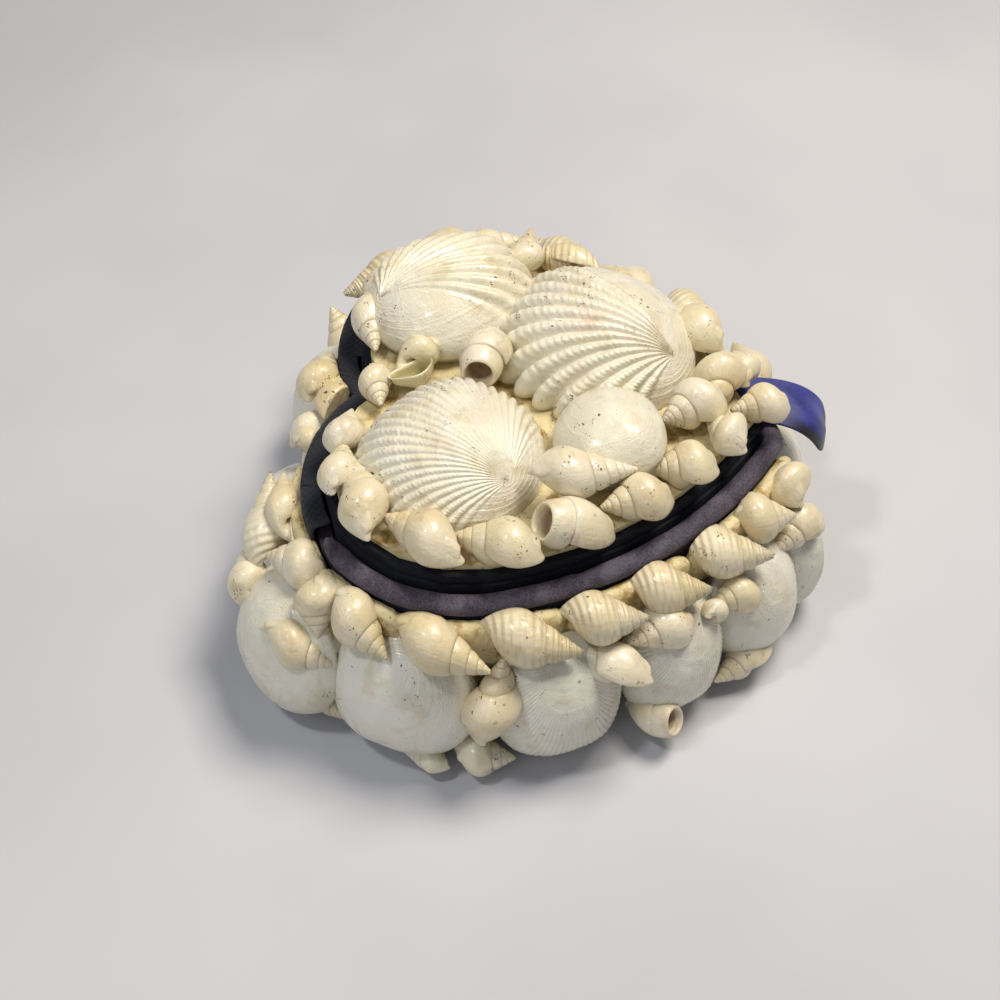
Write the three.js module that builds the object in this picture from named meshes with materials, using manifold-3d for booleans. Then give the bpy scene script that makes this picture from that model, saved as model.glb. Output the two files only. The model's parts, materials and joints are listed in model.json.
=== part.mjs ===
// Heart-shaped keepsake box covered in seashells, with a cloth-hinged lid and a ribbon pull.
// Millimetres, +Z up. The heart stands on z = 0, its tip points to -Y and its notch and hinge are at +Y.
import * as THREE from 'three';
import Module from 'manifold-3d';
import { mergeVertices } from 'three/addons/utils/BufferGeometryUtils.js';

// Heart outline, measured along the middle of the rim roll
const LOBE_RADIUS = 25;
const LOBE_SPREAD = 15;        // each lobe centre, from the middle plane
const SIDE_RADIUS = 67;
const TIP_REACH = 49;          // tip, from the line through the lobe centres
const ARC_SIDES = 4;           // each of the heart's four arcs has twice as many facets

// Box, rim and lid
const WALL = 2.4;
const WALL_PROUD = 0.8;        // outer face of the wall, outside the middle of the roll
const FLOOR = 2;
const RIM_HEIGHT = 29;
const ROLL_RADIUS = 1.7;
const ROLL_SIDES = 6;
const ROLL_STEPS = 22;         // lengths the roll is drawn in
const LINING = 1.5;
const LID_INSET = 2.5;         // edge of the lid board, inside the middle of the roll
const LID_BOARD = 1.6;
const HINGE_HALF_WIDTH = 28.5;
const HINGE_CLOTH = 1;
const HINGE_FLAP = 4;          // how far the cloth hangs down the outside of the wall
const HINGE_RETURN = 7.2;      // how far it comes round each lobe, in front of its widest point
const GAP = 0.3;               // clearance kept between neighbouring pieces

// Glue beds and ribbon pull
const WALL_GLUE = 0.9;
const WALL_GLUE_FOOT = 1;
const LID_GLUE = 1;
const LID_GLUE_INSET = 3.6;
const BEAD = 1.6;              // bead of glue that carries a run of whelks
const BEAD_DEPTH = 9;
const BEAD_PROUD = 0.6;        // top of the bead, above the rim of the box
const BEAD_STEP = 0.05;        // share of the outline between two corners of a bead
const PULL_BEND = 2;           // the ribbon starts to bend this far inside the tip of the outline
const PULL_TUCK = 9;           // straight run before the bend, cut to fit the edge of the lid board
const PULL_WIDTH = 10;
const PULL_THICK = 0.8;
const PULL_REACH = 11;
const PULL_DROP = 6.5;
const PULL_STEPS = 6;
const PULL_CREST = 0.5;        // how far the ribbon rises before it falls
const PULL_CREST_AT = 0.75;    // share of its reach at which it is bent most
const PULL_SIDE = 7;           // the pull sits a little to one side of the tip

// Shells
const WHELK_SIDES = 6;
const VALVE_FOOT = 1.4;        // lowest edge of the valves round the box
const VALVE_TALL = 24;
const VALVE_SIDES = 8;
const VALVE_LEAN = 13;         // degrees that their lower edge stands out
const VALVE_SKIRT = 9;         // depth of the glue-filled back of a valve, before it is cut to fit
const BEAK = 0.8;              // how far out the beak sits, as a share of the half height
const RIB_FAN = 0.6;           // ribs cover the rays that point this far or less towards the beak's side
const EDGE_HALVINGS = 24;      // halvings that find the edge of a valve along a ray
const BROAD = 2.5;             // how square the outline of a valve is: 2 is an ellipse
const DOME_FALL = 0.6;         // how fast a valve falls away to its edge: 0.5 is a ball
const SMOOTHING = 0.02;        // share of the outline over which its corners are eased for the shells

// Worked out from the sizes above
const lobeLine = (TIP_REACH - LOBE_RADIUS) / 2;
const rollZ = RIM_HEIGHT + GAP + ROLL_RADIUS;
const rollTop = rollZ + ROLL_RADIUS;
const lidSeat = rollTop + GAP;
const lidTop = lidSeat + LID_BOARD;
const glueTop = lidTop + GAP + LID_GLUE;
const wallInner = WALL_PROUD - WALL;
const liningOuter = Math.min(wallInner, -ROLL_RADIUS) - GAP;
const liningInner = liningOuter - LINING;
const glueOuter = WALL_PROUD + GAP + WALL_GLUE;

const radians = THREE.MathUtils.degToRad;

const wasm = await Module();
wasm.setup();

const colours = {
  velvet: { color: 0x4a4050, roughness: 0.95 },
  navy: { color: 0x15161f, roughness: 0.95 },
  satin: { color: 0x24357d, roughness: 0.4 },
  glue: { color: 0xd9c99a, roughness: 0.45 },
  shell: { color: 0xe4dcc4, roughness: 0.35 },
  whelk: { color: 0xdfd2b0, roughness: 0.35 },
};

// Centre of the right-hand side arc, which touches the inside of the lobe and ends at the tip
function sideCentre() {
  const lobe = new THREE.Vector2(LOBE_SPREAD, 0);
  const toTip = new THREE.Vector2(0, -TIP_REACH).sub(lobe);
  const span = toTip.length();
  const reach = SIDE_RADIUS - LOBE_RADIUS;
  const along = (reach ** 2 - SIDE_RADIUS ** 2 + span ** 2) / (2 * span);
  const across = Math.sqrt(Math.max(reach ** 2 - along ** 2, 0));
  const dir = toTip.divideScalar(span);
  return lobe.addScaledVector(dir, along).add(new THREE.Vector2(dir.y, -dir.x).multiplyScalar(across));
}

const side = sideCentre();
const joinAngle = Math.atan2(-side.y, LOBE_SPREAD - side.x);

// The heart drawn in four arcs, a distance outside (or, below zero, inside) the middle of the roll
function heartShape(offset) {
  const lobe = LOBE_RADIUS + offset;
  const flank = SIDE_RADIUS + offset;
  const notch = Math.acos(-LOBE_SPREAD / lobe);
  const tip = -Math.acos(-side.x / flank);
  const shape = new THREE.Shape();
  shape.absarc(side.x, side.y + lobeLine, flank, tip, joinAngle, false);
  shape.absarc(LOBE_SPREAD, lobeLine, lobe, joinAngle, notch, false);
  shape.absarc(-LOBE_SPREAD, lobeLine, lobe, Math.PI - notch, Math.PI - joinAngle, false);
  shape.absarc(-side.x, side.y + lobeLine, flank, Math.PI - joinAngle, Math.PI - tip, false);
  return shape;
}

// Length of the lobe arc and side arc of one half, for stepping round the outline
const notchAngle = Math.acos(-LOBE_SPREAD / LOBE_RADIUS);
const tipAngle = -Math.acos(-side.x / SIDE_RADIUS);
const lobeRun = LOBE_RADIUS * (notchAngle - joinAngle);
const halfRun = lobeRun + SIDE_RADIUS * (joinAngle - tipAngle);

// A point on the outline: share 0 is the notch, 0.5 the tip, going round by the left-hand (-X) lobe
function outlinePoint(share) {
  const turn = share - Math.floor(share);
  const mirrored = turn > 0.5;
  const run = (mirrored ? 1 - turn : turn) * 2 * halfRun;
  const onLobe = run < lobeRun;
  const radius = onLobe ? LOBE_RADIUS : SIDE_RADIUS;
  const angle = onLobe ? notchAngle - run / radius : joinAngle - (run - lobeRun) / radius;
  const x = (onLobe ? LOBE_SPREAD : side.x) + radius * Math.cos(angle);
  const y = (onLobe ? 0 : side.y) + radius * Math.sin(angle);
  return new THREE.Vector2(mirrored ? x : -x, y + lobeLine);
}

// Position and heading at a share of the outline: "along" runs with the share, "out" points outwards
function outlineFrame(share, out) {
  const along = outlinePoint(share + SMOOTHING).sub(outlinePoint(share - SMOOTHING)).normalize();
  const outward = new THREE.Vector2(along.y, -along.x);
  const point = outlinePoint(share).addScaledVector(outward, out);
  return { point, along, outward };
}

function toSolid(geometry) {
  const bare = geometry.clone();
  for (const name of Object.keys(bare.attributes)) if (name !== 'position') bare.deleteAttribute(name);
  const merged = mergeVertices(bare.index ? bare.toNonIndexed() : bare, 1e-4);
  const vertProperties = new Float32Array(merged.attributes.position.array);
  const triVerts = new Uint32Array(merged.index.array);
  return new wasm.Manifold(new wasm.Mesh({ numProp: 3, vertProperties, triVerts }));
}

function toGeometry(solid) {
  const mesh = solid.getMesh();
  const geometry = new THREE.BufferGeometry();
  const positions = new Float32Array(mesh.numVert * 3);
  for (let i = 0; i < mesh.numVert; i += 1) {
    for (let k = 0; k < 3; k += 1) positions[3 * i + k] = mesh.vertProperties[mesh.numProp * i + k];
  }
  geometry.setAttribute('position', new THREE.BufferAttribute(positions, 3));
  geometry.setIndex(Array.from(mesh.triVerts));
  geometry.computeVertexNormals();
  return geometry;
}

// A cut can leave crumbs: the piece is the biggest part that is left
function mainPart(solid) {
  const parts = solid.decompose();
  return parts.reduce((best, part) => (part.volume() > best.volume() ? part : best), parts[0]);
}

function extruded(shape, low, high) {
  const settings = { depth: high - low, bevelEnabled: false, curveSegments: ARC_SIDES };
  const geometry = new THREE.ExtrudeGeometry(shape, settings);
  return toSolid(geometry.translate(0, 0, low));
}

const slab = (offset, low, high) => extruded(heartShape(offset), low, high);

function ring(inner, outer, low, high) {
  return slab(outer, low, high).subtract(slab(inner, low - 1, high + 1));
}

function block(low, high) {
  const size = new THREE.Vector3().subVectors(high, low);
  const geometry = new THREE.BoxGeometry(size.x, size.y, size.z);
  const middle = new THREE.Vector3().addVectors(low, high).multiplyScalar(0.5);
  return toSolid(geometry.translate(middle.x, middle.y, middle.z));
}

// Part of a band round the outline, between two shares
function bandPiece(start, end, inner, outer, low, high) {
  const steps = Math.max(2, Math.round((end - start) / BEAD_STEP));
  const shares = Array.from({ length: steps + 1 }, (_, i) => start + ((end - start) * i) / steps);
  const outerEdge = shares.map((share) => outlineFrame(share, outer).point);
  const innerEdge = shares.map((share) => outlineFrame(share, inner).point).reverse();
  return extruded(new THREE.Shape([...outerEdge, ...innerEdge]), low, high);
}

// Closed skin over rings of points: the first and last rings close on a single point each
function closedSkin(firstPoint, rings, lastPoint) {
  const sides = rings[0].length;
  const points = [firstPoint, ...rings.flat(), lastPoint];
  const last = points.length - 1;
  const at = (ringIndex, i) => 1 + ringIndex * sides + (i % sides);
  const faces = [];
  for (let i = 0; i < sides; i += 1) {
    faces.push(0, at(0, i), at(0, i + 1));
    for (let r = 0; r + 1 < rings.length; r += 1) {
      faces.push(at(r, i), at(r + 1, i), at(r + 1, i + 1));
      faces.push(at(r, i), at(r + 1, i + 1), at(r, i + 1));
    }
    faces.push(last, at(rings.length - 1, i + 1), at(rings.length - 1, i));
  }
  const geometry = new THREE.BufferGeometry().setFromPoints(points);
  geometry.setIndex(faces);
  return geometry;
}

// Whelk or dove shell on its side, spire to +X: whorls that step down at each seam, then a narrowing canal
const WHORLS = [[0.12, 0.3], [0.22, 0.54], [0.26, 0.5], [0.4, 0.94], [0.68, 0.98], [0.97, 0.42]];
const PLAIN_WHORLS = [[0.2, 0.5], [0.4, 0.95], [0.7, 0.95], [0.97, 0.42]];
const ENVELOPE = [[0.38, 1.02], [0.98, 0.86]];      // holds either of them, with few faces

function whelk(long, girth, grow, profile) {
  const radius = girth / 2 + grow;
  const reach = long / 2 + grow;
  const rings = profile.map(([along, width]) => Array.from({ length: WHELK_SIDES }, (_, i) => {
    const angle = (2 * Math.PI * i) / WHELK_SIDES;
    const out = radius * width;
    return new THREE.Vector3(reach * (1 - 2 * along), out * Math.cos(angle), out * Math.sin(angle));
  }));
  return closedSkin(new THREE.Vector3(reach, 0, 0), rings, new THREE.Vector3(-reach, 0, 0));
}

// How far it is from the beak of a valve to its edge, along a ray
function edgeReach(beak, dir, half) {
  let near = 0;
  let far = 2 * Math.max(half.x, half.y);
  for (let i = 0; i < EDGE_HALVINGS; i += 1) {
    const middle = (near + far) / 2;
    const inside = edgeRatio(beak.clone().addScaledVector(dir, middle), half) < 1;
    if (inside) near = middle;
    else far = middle;
  }
  return near;
}

// How near a point is to the edge of a valve: 0 in the middle, 1 on the edge
function edgeRatio(point, half) {
  const power = point.y < 0 ? BROAD : 2;
  return Math.abs(point.x / half.x) ** power + Math.abs(point.y / half.y) ** power;
}

// Half of a clam, ark or cockle, domed to +Z, its beak towards +Y. Ribs fan out from the beak, and the hollow
// behind is filled with glue down to the depth of the skirt.
function valve({ wide, tall, dome, ribHeight = 0, segments, steps }, grow) {
  const half = new THREE.Vector2(wide / 2 + grow, tall / 2 + grow);
  const beak = new THREE.Vector2(0, BEAK * half.y);
  const height = (ratio) => (dome + grow) * Math.max(1 - ratio, 0) ** DOME_FALL;
  const rays = Array.from({ length: segments }, (_, i) => {
    const angle = (2 * Math.PI * (i + 0.5)) / segments - Math.PI / 2;
    const dir = new THREE.Vector2(Math.cos(angle), Math.sin(angle));
    return { dir, reach: edgeReach(beak, dir, half), rib: dir.y < RIB_FAN ? ribHeight * ((i % 2) - 0.5) : 0 };
  });
  const rings = steps.map((step) => rays.map(({ dir, reach, rib }) => {
    const point = beak.clone().addScaledVector(dir, reach * step);
    return new THREE.Vector3(point.x, point.y, step < 1 ? height(edgeRatio(point, half)) + rib * step : 0);
  }));
  const skirt = rings.at(-1).map((point) => new THREE.Vector3(point.x, point.y, -VALVE_SKIRT));
  const crown = new THREE.Vector3(0, beak.y, height(edgeRatio(beak, half)));
  return closedSkin(crown, [...rings, skirt], new THREE.Vector3(0, 0, -VALVE_SKIRT));
}

// A whelk by the outline: share, how far out, height, where its spire points (0 along the outline,
// 90 outwards), how far the spire leans up, its length and its girth
function whelkAt([share, out, height, spire, lean, long, girth], grow, profile) {
  const { point, along } = outlineFrame(share, out);
  const shell = whelk(long, girth, grow, profile).rotateY(-radians(lean));
  shell.rotateZ(Math.atan2(along.y, along.x) - radians(spire)).translate(point.x, point.y, height);
  return toSolid(shell);
}

// What a whelk keeps free: round itself, and the same again a little higher or lower
function whelkRoom(row, shift) {
  const room = whelkAt(row, GAP, ENVELOPE);
  return room.add(whelkAt(row.with(2, row[2] + shift), GAP, ENVELOPE));
}

// A valve standing against the wall, beak up and its lower edge leaning out
function wallValve({ share, out, spin, ...form }, grow) {
  const { point, along, outward } = outlineFrame(share, out);
  const across = new THREE.Vector3(along.x, along.y, 0);
  const facing = new THREE.Vector3(outward.x, outward.y, 0);
  const basis = new THREE.Matrix4().makeBasis(across, new THREE.Vector3(0, 0, 1), facing);
  const shell = valve(form, grow).rotateZ(radians(-spin)).rotateX(radians(-VALVE_LEAN));
  return toSolid(shell.applyMatrix4(basis).translate(point.x, point.y, VALVE_FOOT + form.tall / 2));
}

// A valve lying on the lid: x from the left (-1), middle (0) or right (1) lobe, the share of the way from
// the lobes to the tip, height above the glue, where the beak points in plan, and how far the valve tips
// towards its beak and to one side
function lidValve({ lobe, x, toTip, up, beak, tip, bank, ...form }, grow) {
  const shell = valve(form, grow).rotateX(radians(tip)).rotateY(radians(bank));
  const y = lobeLine - toTip * TIP_REACH;
  shell.rotateZ(radians(beak - 90)).translate(lobe * LOBE_SPREAD + x, y, glueTop + GAP + up);
  return toSolid(shell);
}

const RIBBED_STEPS = [0.4, 0.8, 1];
const SMOOTH_STEPS = [0.5, 1];
const LID_VALVES = {
  clam_round: { lobe: 0, x: -10.5, toTip: 0.45, up: 3.6, beak: 20, tip: 0, bank: -14,
    wide: 18, tall: 18.5, dome: 6.4, segments: 10, steps: RIBBED_STEPS },
  ark_front: { lobe: -1, x: -1.5, toTip: -0.03, up: 0.4, beak: -125, tip: -3, bank: 0,
    wide: 30, tall: 28, dome: 9.8, ribHeight: 0.9, segments: 28, steps: RIBBED_STEPS },
  cockle_large: { lobe: 1, x: -3, toTip: 0.39, up: 0.8, beak: -113, tip: -3, bank: 0,
    wide: 32, tall: 32, dome: 10.8, ribHeight: 1.3, segments: 20, steps: RIBBED_STEPS },
  ark_back: { lobe: 1, x: 3, toTip: -0.17, up: 2.4, beak: 118, tip: 0, bank: 0,
    wide: 27, tall: 29, dome: 8.8, ribHeight: 1.2, segments: 16, steps: RIBBED_STEPS },
};

// Shells of the lid: share, out, height above the glue, spire, lean, length, girth
const LID_TOP_WHELKS = {
  spindle_top: [0.34, -10.8, 7, 20, 0, 17, 8.6],
  glossy_centre: [0.996, -21.5, 6.4, -173, -12, 11, 8.4],
  broken_centre: [0.996, -10, 3.6, -130, 0, 12.5, 8],
};
const LID_RING = [
  [0.01, -5, 2.6, -37, 0, 9, 6],
  [0.06, -5.2, 2.6, -5, 0, 10, 6.5],
  [0.1, -4.8, 2.6, 12, 0, 11.5, 6.5],
  [0.139, -6, 3, -162, 0, 17.5, 8.4],
  [0.208, -5.8, 3.1, -167, 0, 15.5, 9],
  [0.266, -4.8, 3.1, -156, 0, 14.8, 8.8],
  [0.322, -4.2, 3.1, -148, 0, 12.8, 8.8],
  [0.368, -4.6, 3, -165, 0, 11.6, 8.4],
  [0.414, -5.2, 3, -140, 0, 10.8, 8.4],
  [0.459, -4.6, 2.8, -84, 0, 9, 8],
  [0.461, -11.6, 4.2, -162, 0, 11.5, 9],
  [0.503, -3, 2.6, -108, 0, 9.8, 7.4],
  [0.537, -7, 3.4, -150, 0, 12.6, 9.2],
  [0.545, -2, 2.6, 6, 0, 8.6, 6.4],
  [0.597, -4, 3, -15, 0, 15, 8.6],
];

// The rest of the lid's ring, out of the photograph's sight, in plainer shells
const LID_RING_FAR = [
  [0.66, -5.4, 2.2, 170, 0, 15, 6.4],
  [0.722, -5.4, 2.2, -12, 0, 15, 6.2],
  [0.747, -10, 5, 77, 24, 10, 7],
  [0.783, -5.4, 2.2, 168, 0, 14.6, 6.2],
  [0.838, -5, 2.2, -14, 0, 12, 6.2],
  [0.9, -4.6, 2.8, 165, 0, 13, 7.6],
  [0.953, -4.6, 2.8, -8, 0, 14, 7],
];

// Runs of whelks round the box, each in its bead of glue: first and last share, then the shells, with their
// heights measured from the rim
const RUNS = [
  { from: 0.945, to: 1.045, shells: [
    [0.968, 5, 2, -160, 0, 12.5, 7.6], [0.998, 4.4, 2.4, 172, 0, 12.5, 7.6],
    [0.028, 5, -1, 160, 0, 10.5, 7.4], [0.04, 2.8, 0.2, -140, 0, 8, 6]] },
  { from: 0.062, to: 0.14, shells: [
    [0.092, 3.8, -1.2, 178, 0, 15.6, 7.8], [0.09, 8, -4, -174, 24, 17, 7.4],
    [0.108, 12.2, -9, -168, 26, 11.5, 6.6], [0.13, 5, -2, 136, 0, 11.8, 9]] },
  { from: 0.148, to: 0.2, shells: [
    [0.157, 6, -3, 42, -45, 11, 8], [0.184, 5.2, -1.6, 14, -18, 13.8, 8.4],
    [0.157, 9.8, -9, -25, -10, 13, 8]] },
  { from: 0.208, to: 0.3, shells: [
    [0.229, 5.4, -1.2, 17, -6, 17.4, 9], [0.276, 5.2, -1, 23, -6, 17.4, 9]] },
  { from: 0.306, to: 0.388, shells: [
    [0.323, 5.2, -1, 20, 0, 14.2, 9], [0.319, 9, -8, -144, 8, 15.6, 7.8],
    [0.355, 8.4, -6, 180, 0, 12, 8.2], [0.367, 5, -1, 30, 0, 14.2, 9]] },
  { from: 0.396, to: 0.498, shells: [
    [0.414, 5.4, -1.2, 44, 0, 15.4, 9], [0.413, 9, -8, -165, 0, 10.6, 8],
    [0.45, 5, -1, 40, 0, 11.4, 8.8], [0.47, 9, -6.6, 180, 0, 11.6, 8],
    [0.483, 4.8, -1.2, -58, 0, 10.4, 8.6]] },
];

// The far side, out of the photograph's sight, goes on in the same way
const FAR_FROM = 0.548;
const FAR_TO = 0.89;
const FAR_SHELLS = 6;
const FAR_RUNS = 2;
const FAR_SPACING = 0.004;     // share left free at each end of a run
const FAR_OUT = 5.4;
const FAR_HEIGHT = -1.2;       // from the rim
const FAR_SPIRES = [18, 196];  // degrees that their spires point, in turn
const FAR_LEAN = -4;
const FAR_LONG = 16;
const FAR_GIRTH = 8.8;
for (let run = 0; run < FAR_RUNS; run += 1) {
  const pitch = (FAR_TO - FAR_FROM) / FAR_SHELLS;
  const first = Math.floor((run * FAR_SHELLS) / FAR_RUNS);
  const last = Math.floor(((run + 1) * FAR_SHELLS) / FAR_RUNS);
  const shells = Array.from({ length: last - first }, (_, i) => {
    const share = FAR_FROM + pitch * (first + i + 0.5);
    return [share, FAR_OUT, FAR_HEIGHT, FAR_SPIRES[i % 2], FAR_LEAN, FAR_LONG, FAR_GIRTH];
  });
  const from = FAR_FROM + pitch * first + FAR_SPACING;
  const to = FAR_FROM + pitch * last - FAR_SPACING;
  RUNS.push({ from, to, shells });
}

// Small whelks by the foot of the box, one of them upright over the joint of two valves
const FOOT_WHELKS = {
  whelk_upright: [0.254, 9.4, 18, -66, 66, 16.5, 9.4],
  whelk_foot: [0.347, 10.6, 4.6, 28, 0, 10, 7],
};

// Valves round the box: share, how far out their backs stand, width, dome and spin towards the tip
const WALL_VALVES = [
  [0.14, 8.4, 25, 8.6, 10], [0.207, 4.6, 25, 8, 0], [0.293, 6, 22, 8, 0], [0.37, 6.4, 19, 7.6, 6],
  [0.436, 6.8, 19, 8, 0], [0.478, 6.4, 14, 7.4, 0], [0.545, 4.6, 19, 7.6, 0], [0.625, 4.6, 21, 7.8, 0],
  [0.705, 4.6, 21, 7.8, 0], [0.785, 4.6, 21, 7.8, 0], [0.86, 4.6, 20, 7.6, 0], [0.93, 4.6, 18, 7.4, 0],
  [0.062, 6, 19, 7.6, 0],
];

const box = slab(WALL_PROUD, 0, RIM_HEIGHT).subtract(slab(wallInner, FLOOR, RIM_HEIGHT + 1));
const lining = ring(liningInner, liningOuter, FLOOR + GAP, lidSeat - GAP);

// Hinge cloth: over the top of the wall at the back of both lobes, and down the outside
const hingeEdge = Math.acos((HINGE_HALF_WIDTH - LOBE_SPREAD) / LOBE_RADIUS);
const hingeFront = lobeLine + LOBE_RADIUS * Math.sin(hingeEdge) - HINGE_RETURN;
function hingeCloth(grow) {
  const top = lidSeat - GAP + grow;
  const outer = WALL_PROUD + GAP + HINGE_CLOTH + grow;
  const over = ring(wallInner - grow, outer, RIM_HEIGHT + GAP - grow, top);
  const flap = ring(WALL_PROUD + GAP - grow, outer, RIM_HEIGHT - HINGE_FLAP - grow, top);
  const reach = HINGE_HALF_WIDTH + grow;
  const low = new THREE.Vector3(-reach, hingeFront, 0);
  const high = new THREE.Vector3(reach, 2 * TIP_REACH, 2 * lidSeat);
  return over.add(flap).intersect(block(low, high));
}

// Roll of padded velvet along the rim, stopping at the sides of the hinge cloth
class RimCurve extends THREE.Curve {
  constructor(start, end) {
    super();
    this.start = start;
    this.end = end;
  }

  getPoint(t, target = new THREE.Vector3()) {
    const point = outlinePoint(THREE.MathUtils.lerp(this.start, this.end, t));
    return target.set(point.x, point.y, rollZ);
  }
}

function roll() {
  const start = (LOBE_RADIUS * (notchAngle - hingeEdge) + ROLL_RADIUS) / (2 * halfRun);
  const section = new THREE.Shape().absarc(0, 0, ROLL_RADIUS, 0, 2 * Math.PI);
  const path = new RimCurve(start, 1 - start);
  return toSolid(new THREE.ExtrudeGeometry(section, {
    steps: ROLL_STEPS, curveSegments: ROLL_SIDES / 2, extrudePath: path, bevelEnabled: false }));
}

// Ribbon pull: straight out from the edge of the lid, then over and down
function pull(grow) {
  const bendY = outlinePoint(0.5).y + PULL_BEND;
  const top = lidSeat + PULL_THICK / 2 + GAP / 2;
  const crest = new THREE.Vector2(PULL_CREST_AT * PULL_REACH, PULL_CREST);
  const end = new THREE.Vector2(PULL_REACH, -PULL_DROP);
  const middle = new THREE.QuadraticBezierCurve(new THREE.Vector2(0, 0), crest, end);
  const half = PULL_THICK / 2 + grow;
  const line = middle.getPoints(PULL_STEPS);
  const offset = (by) => [new THREE.Vector2(-PULL_TUCK, by), ...line.map((point, i) => (
    point.clone().addScaledVector(normalAt(middle, i / PULL_STEPS), by)))];
  const upper = offset(half);
  const lower = offset(-half).reverse();
  const width = PULL_WIDTH + 2 * grow;
  const section = new THREE.Shape([...upper, ...lower]);
  const geometry = new THREE.ExtrudeGeometry(section, { depth: width, bevelEnabled: false });
  geometry.rotateX(Math.PI / 2).rotateZ(-Math.PI / 2);
  return toSolid(geometry.translate(PULL_SIDE + width / 2, bendY, top));
}

function normalAt(curve, t) {
  const tangent = curve.getTangent(t);
  return new THREE.Vector2(-tangent.y, tangent.x);
}

const twoDigits = (number) => String(number).padStart(2, '0');
const model = new THREE.Group();
const cutters = { base: [], lid: [] };

function addPiece(name, solid, colour) {
  const material = new THREE.MeshStandardMaterial({ ...colours[colour], metalness: 0 });
  const mesh = new THREE.Mesh(toGeometry(solid), material);
  mesh.name = name;
  model.add(mesh);
}

// Adds a shell cut back from what already stands there, and keeps its own grown form for later ones
function addShell(body, name, solid, grown, colour) {
  const cut = cutters[body].reduce((left, other) => left.subtract(other), solid);
  addPiece(name, mainPart(cut), colour);
  cutters[body].push(grown);
}

addPiece('heart_box', box, 'velvet');
addPiece('lining_collar', lining, 'navy');
addPiece('rim_roll', roll(), 'velvet');
addPiece('hinge_cloth', hingeCloth(0), 'navy');
const board = slab(-LID_INSET, lidSeat, lidTop);
addPiece('lid_board', board, 'navy');
addPiece('ribbon_pull', pull(0).subtract(slab(-LID_INSET + GAP, lidSeat - 1, lidTop + 1)), 'satin');
addPiece('lid_glue', slab(-LID_GLUE_INSET, lidTop + GAP, glueTop), 'glue');
const wallGlueTop = RIM_HEIGHT - HINGE_FLAP - GAP;
addPiece('wall_glue', ring(WALL_PROUD + GAP, glueOuter, WALL_GLUE_FOOT, wallGlueTop), 'glue');

cutters.base.push(slab(glueOuter + GAP, -VALVE_TALL, lidSeat + VALVE_TALL), pull(GAP));
cutters.lid.push(slab(LOBE_RADIUS, 0, glueTop + GAP));

for (const [name, row] of Object.entries(LID_TOP_WHELKS)) {
  const standing = row.with(2, glueTop + GAP + row[2]);
  addShell('lid', name, whelkAt(standing, 0, WHORLS), whelkRoom(standing, -row[2]), 'whelk');
}
const clam = LID_VALVES.clam_round;
addShell('lid', 'clam_round', lidValve(clam, 0), lidValve(clam, GAP), 'shell');
const lidRing = [
  ...LID_RING.map((row) => [row, WHORLS]),
  ...LID_RING_FAR.map((row) => [row, PLAIN_WHORLS]),
];
lidRing.forEach(([row, profile], i) => {
  const standing = row.with(2, glueTop + GAP + row[2]);
  const name = `lid_whelk_${twoDigits(i + 1)}`;
  addShell('lid', name, whelkAt(standing, 0, profile), whelkRoom(standing, -row[2]), 'whelk');
});
for (const name of ['ark_front', 'ark_back', 'cockle_large']) {
  const spec = LID_VALVES[name];
  const envelope = lidValve({ ...spec, ribHeight: 0 }, GAP + spec.ribHeight / 2);
  addShell('lid', name, lidValve(spec, 0), envelope, 'shell');
}

for (const [name, row] of Object.entries(FOOT_WHELKS)) {
  addShell('base', name, whelkAt(row, 0, WHORLS), whelkAt(row, GAP, ENVELOPE), 'whelk');
}
RUNS.forEach(({ from, to, shells }, i) => {
  const rows = shells.map((row) => row.with(2, RIM_HEIGHT + row[2]));
  const bead = (grow) => bandPiece(from, to, glueOuter + GAP, glueOuter + GAP + BEAD + grow,
    RIM_HEIGHT - BEAD_DEPTH - grow, RIM_HEIGHT + BEAD_PROUD + grow);
  const whole = rows.reduce((sum, row) => sum.add(whelkAt(row, 0, PLAIN_WHORLS)), bead(0));
  const room = rows.reduce((sum, row) => sum.add(whelkRoom(row, BEAD_DEPTH / 2)), bead(GAP));
  addShell('base', `whelk_run_${i + 1}`, whole, room, 'whelk');
});
WALL_VALVES.forEach(([share, out, wide, dome, spin], i) => {
  const spec = { share, out, wide, dome, spin, tall: VALVE_TALL, segments: VALVE_SIDES, steps: SMOOTH_STEPS };
  addShell('base', `wall_valve_${twoDigits(i + 1)}`, wallValve(spec, 0), wallValve(spec, GAP), 'shell');
});

export default model;
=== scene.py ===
"""Looks of the heart-shaped shell box: seashells glued round a velvet box, a cloth hinge and a ribbon pull.

Everything is in metres in the frame of the CAD model, +Z up, with the tip of the heart towards -Y.
"""

import json
import logging
import math
from dataclasses import dataclass, field
from enum import Enum
from functools import cached_property

import bpy
import numpy as np
from mathutils import Matrix, Vector

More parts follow.
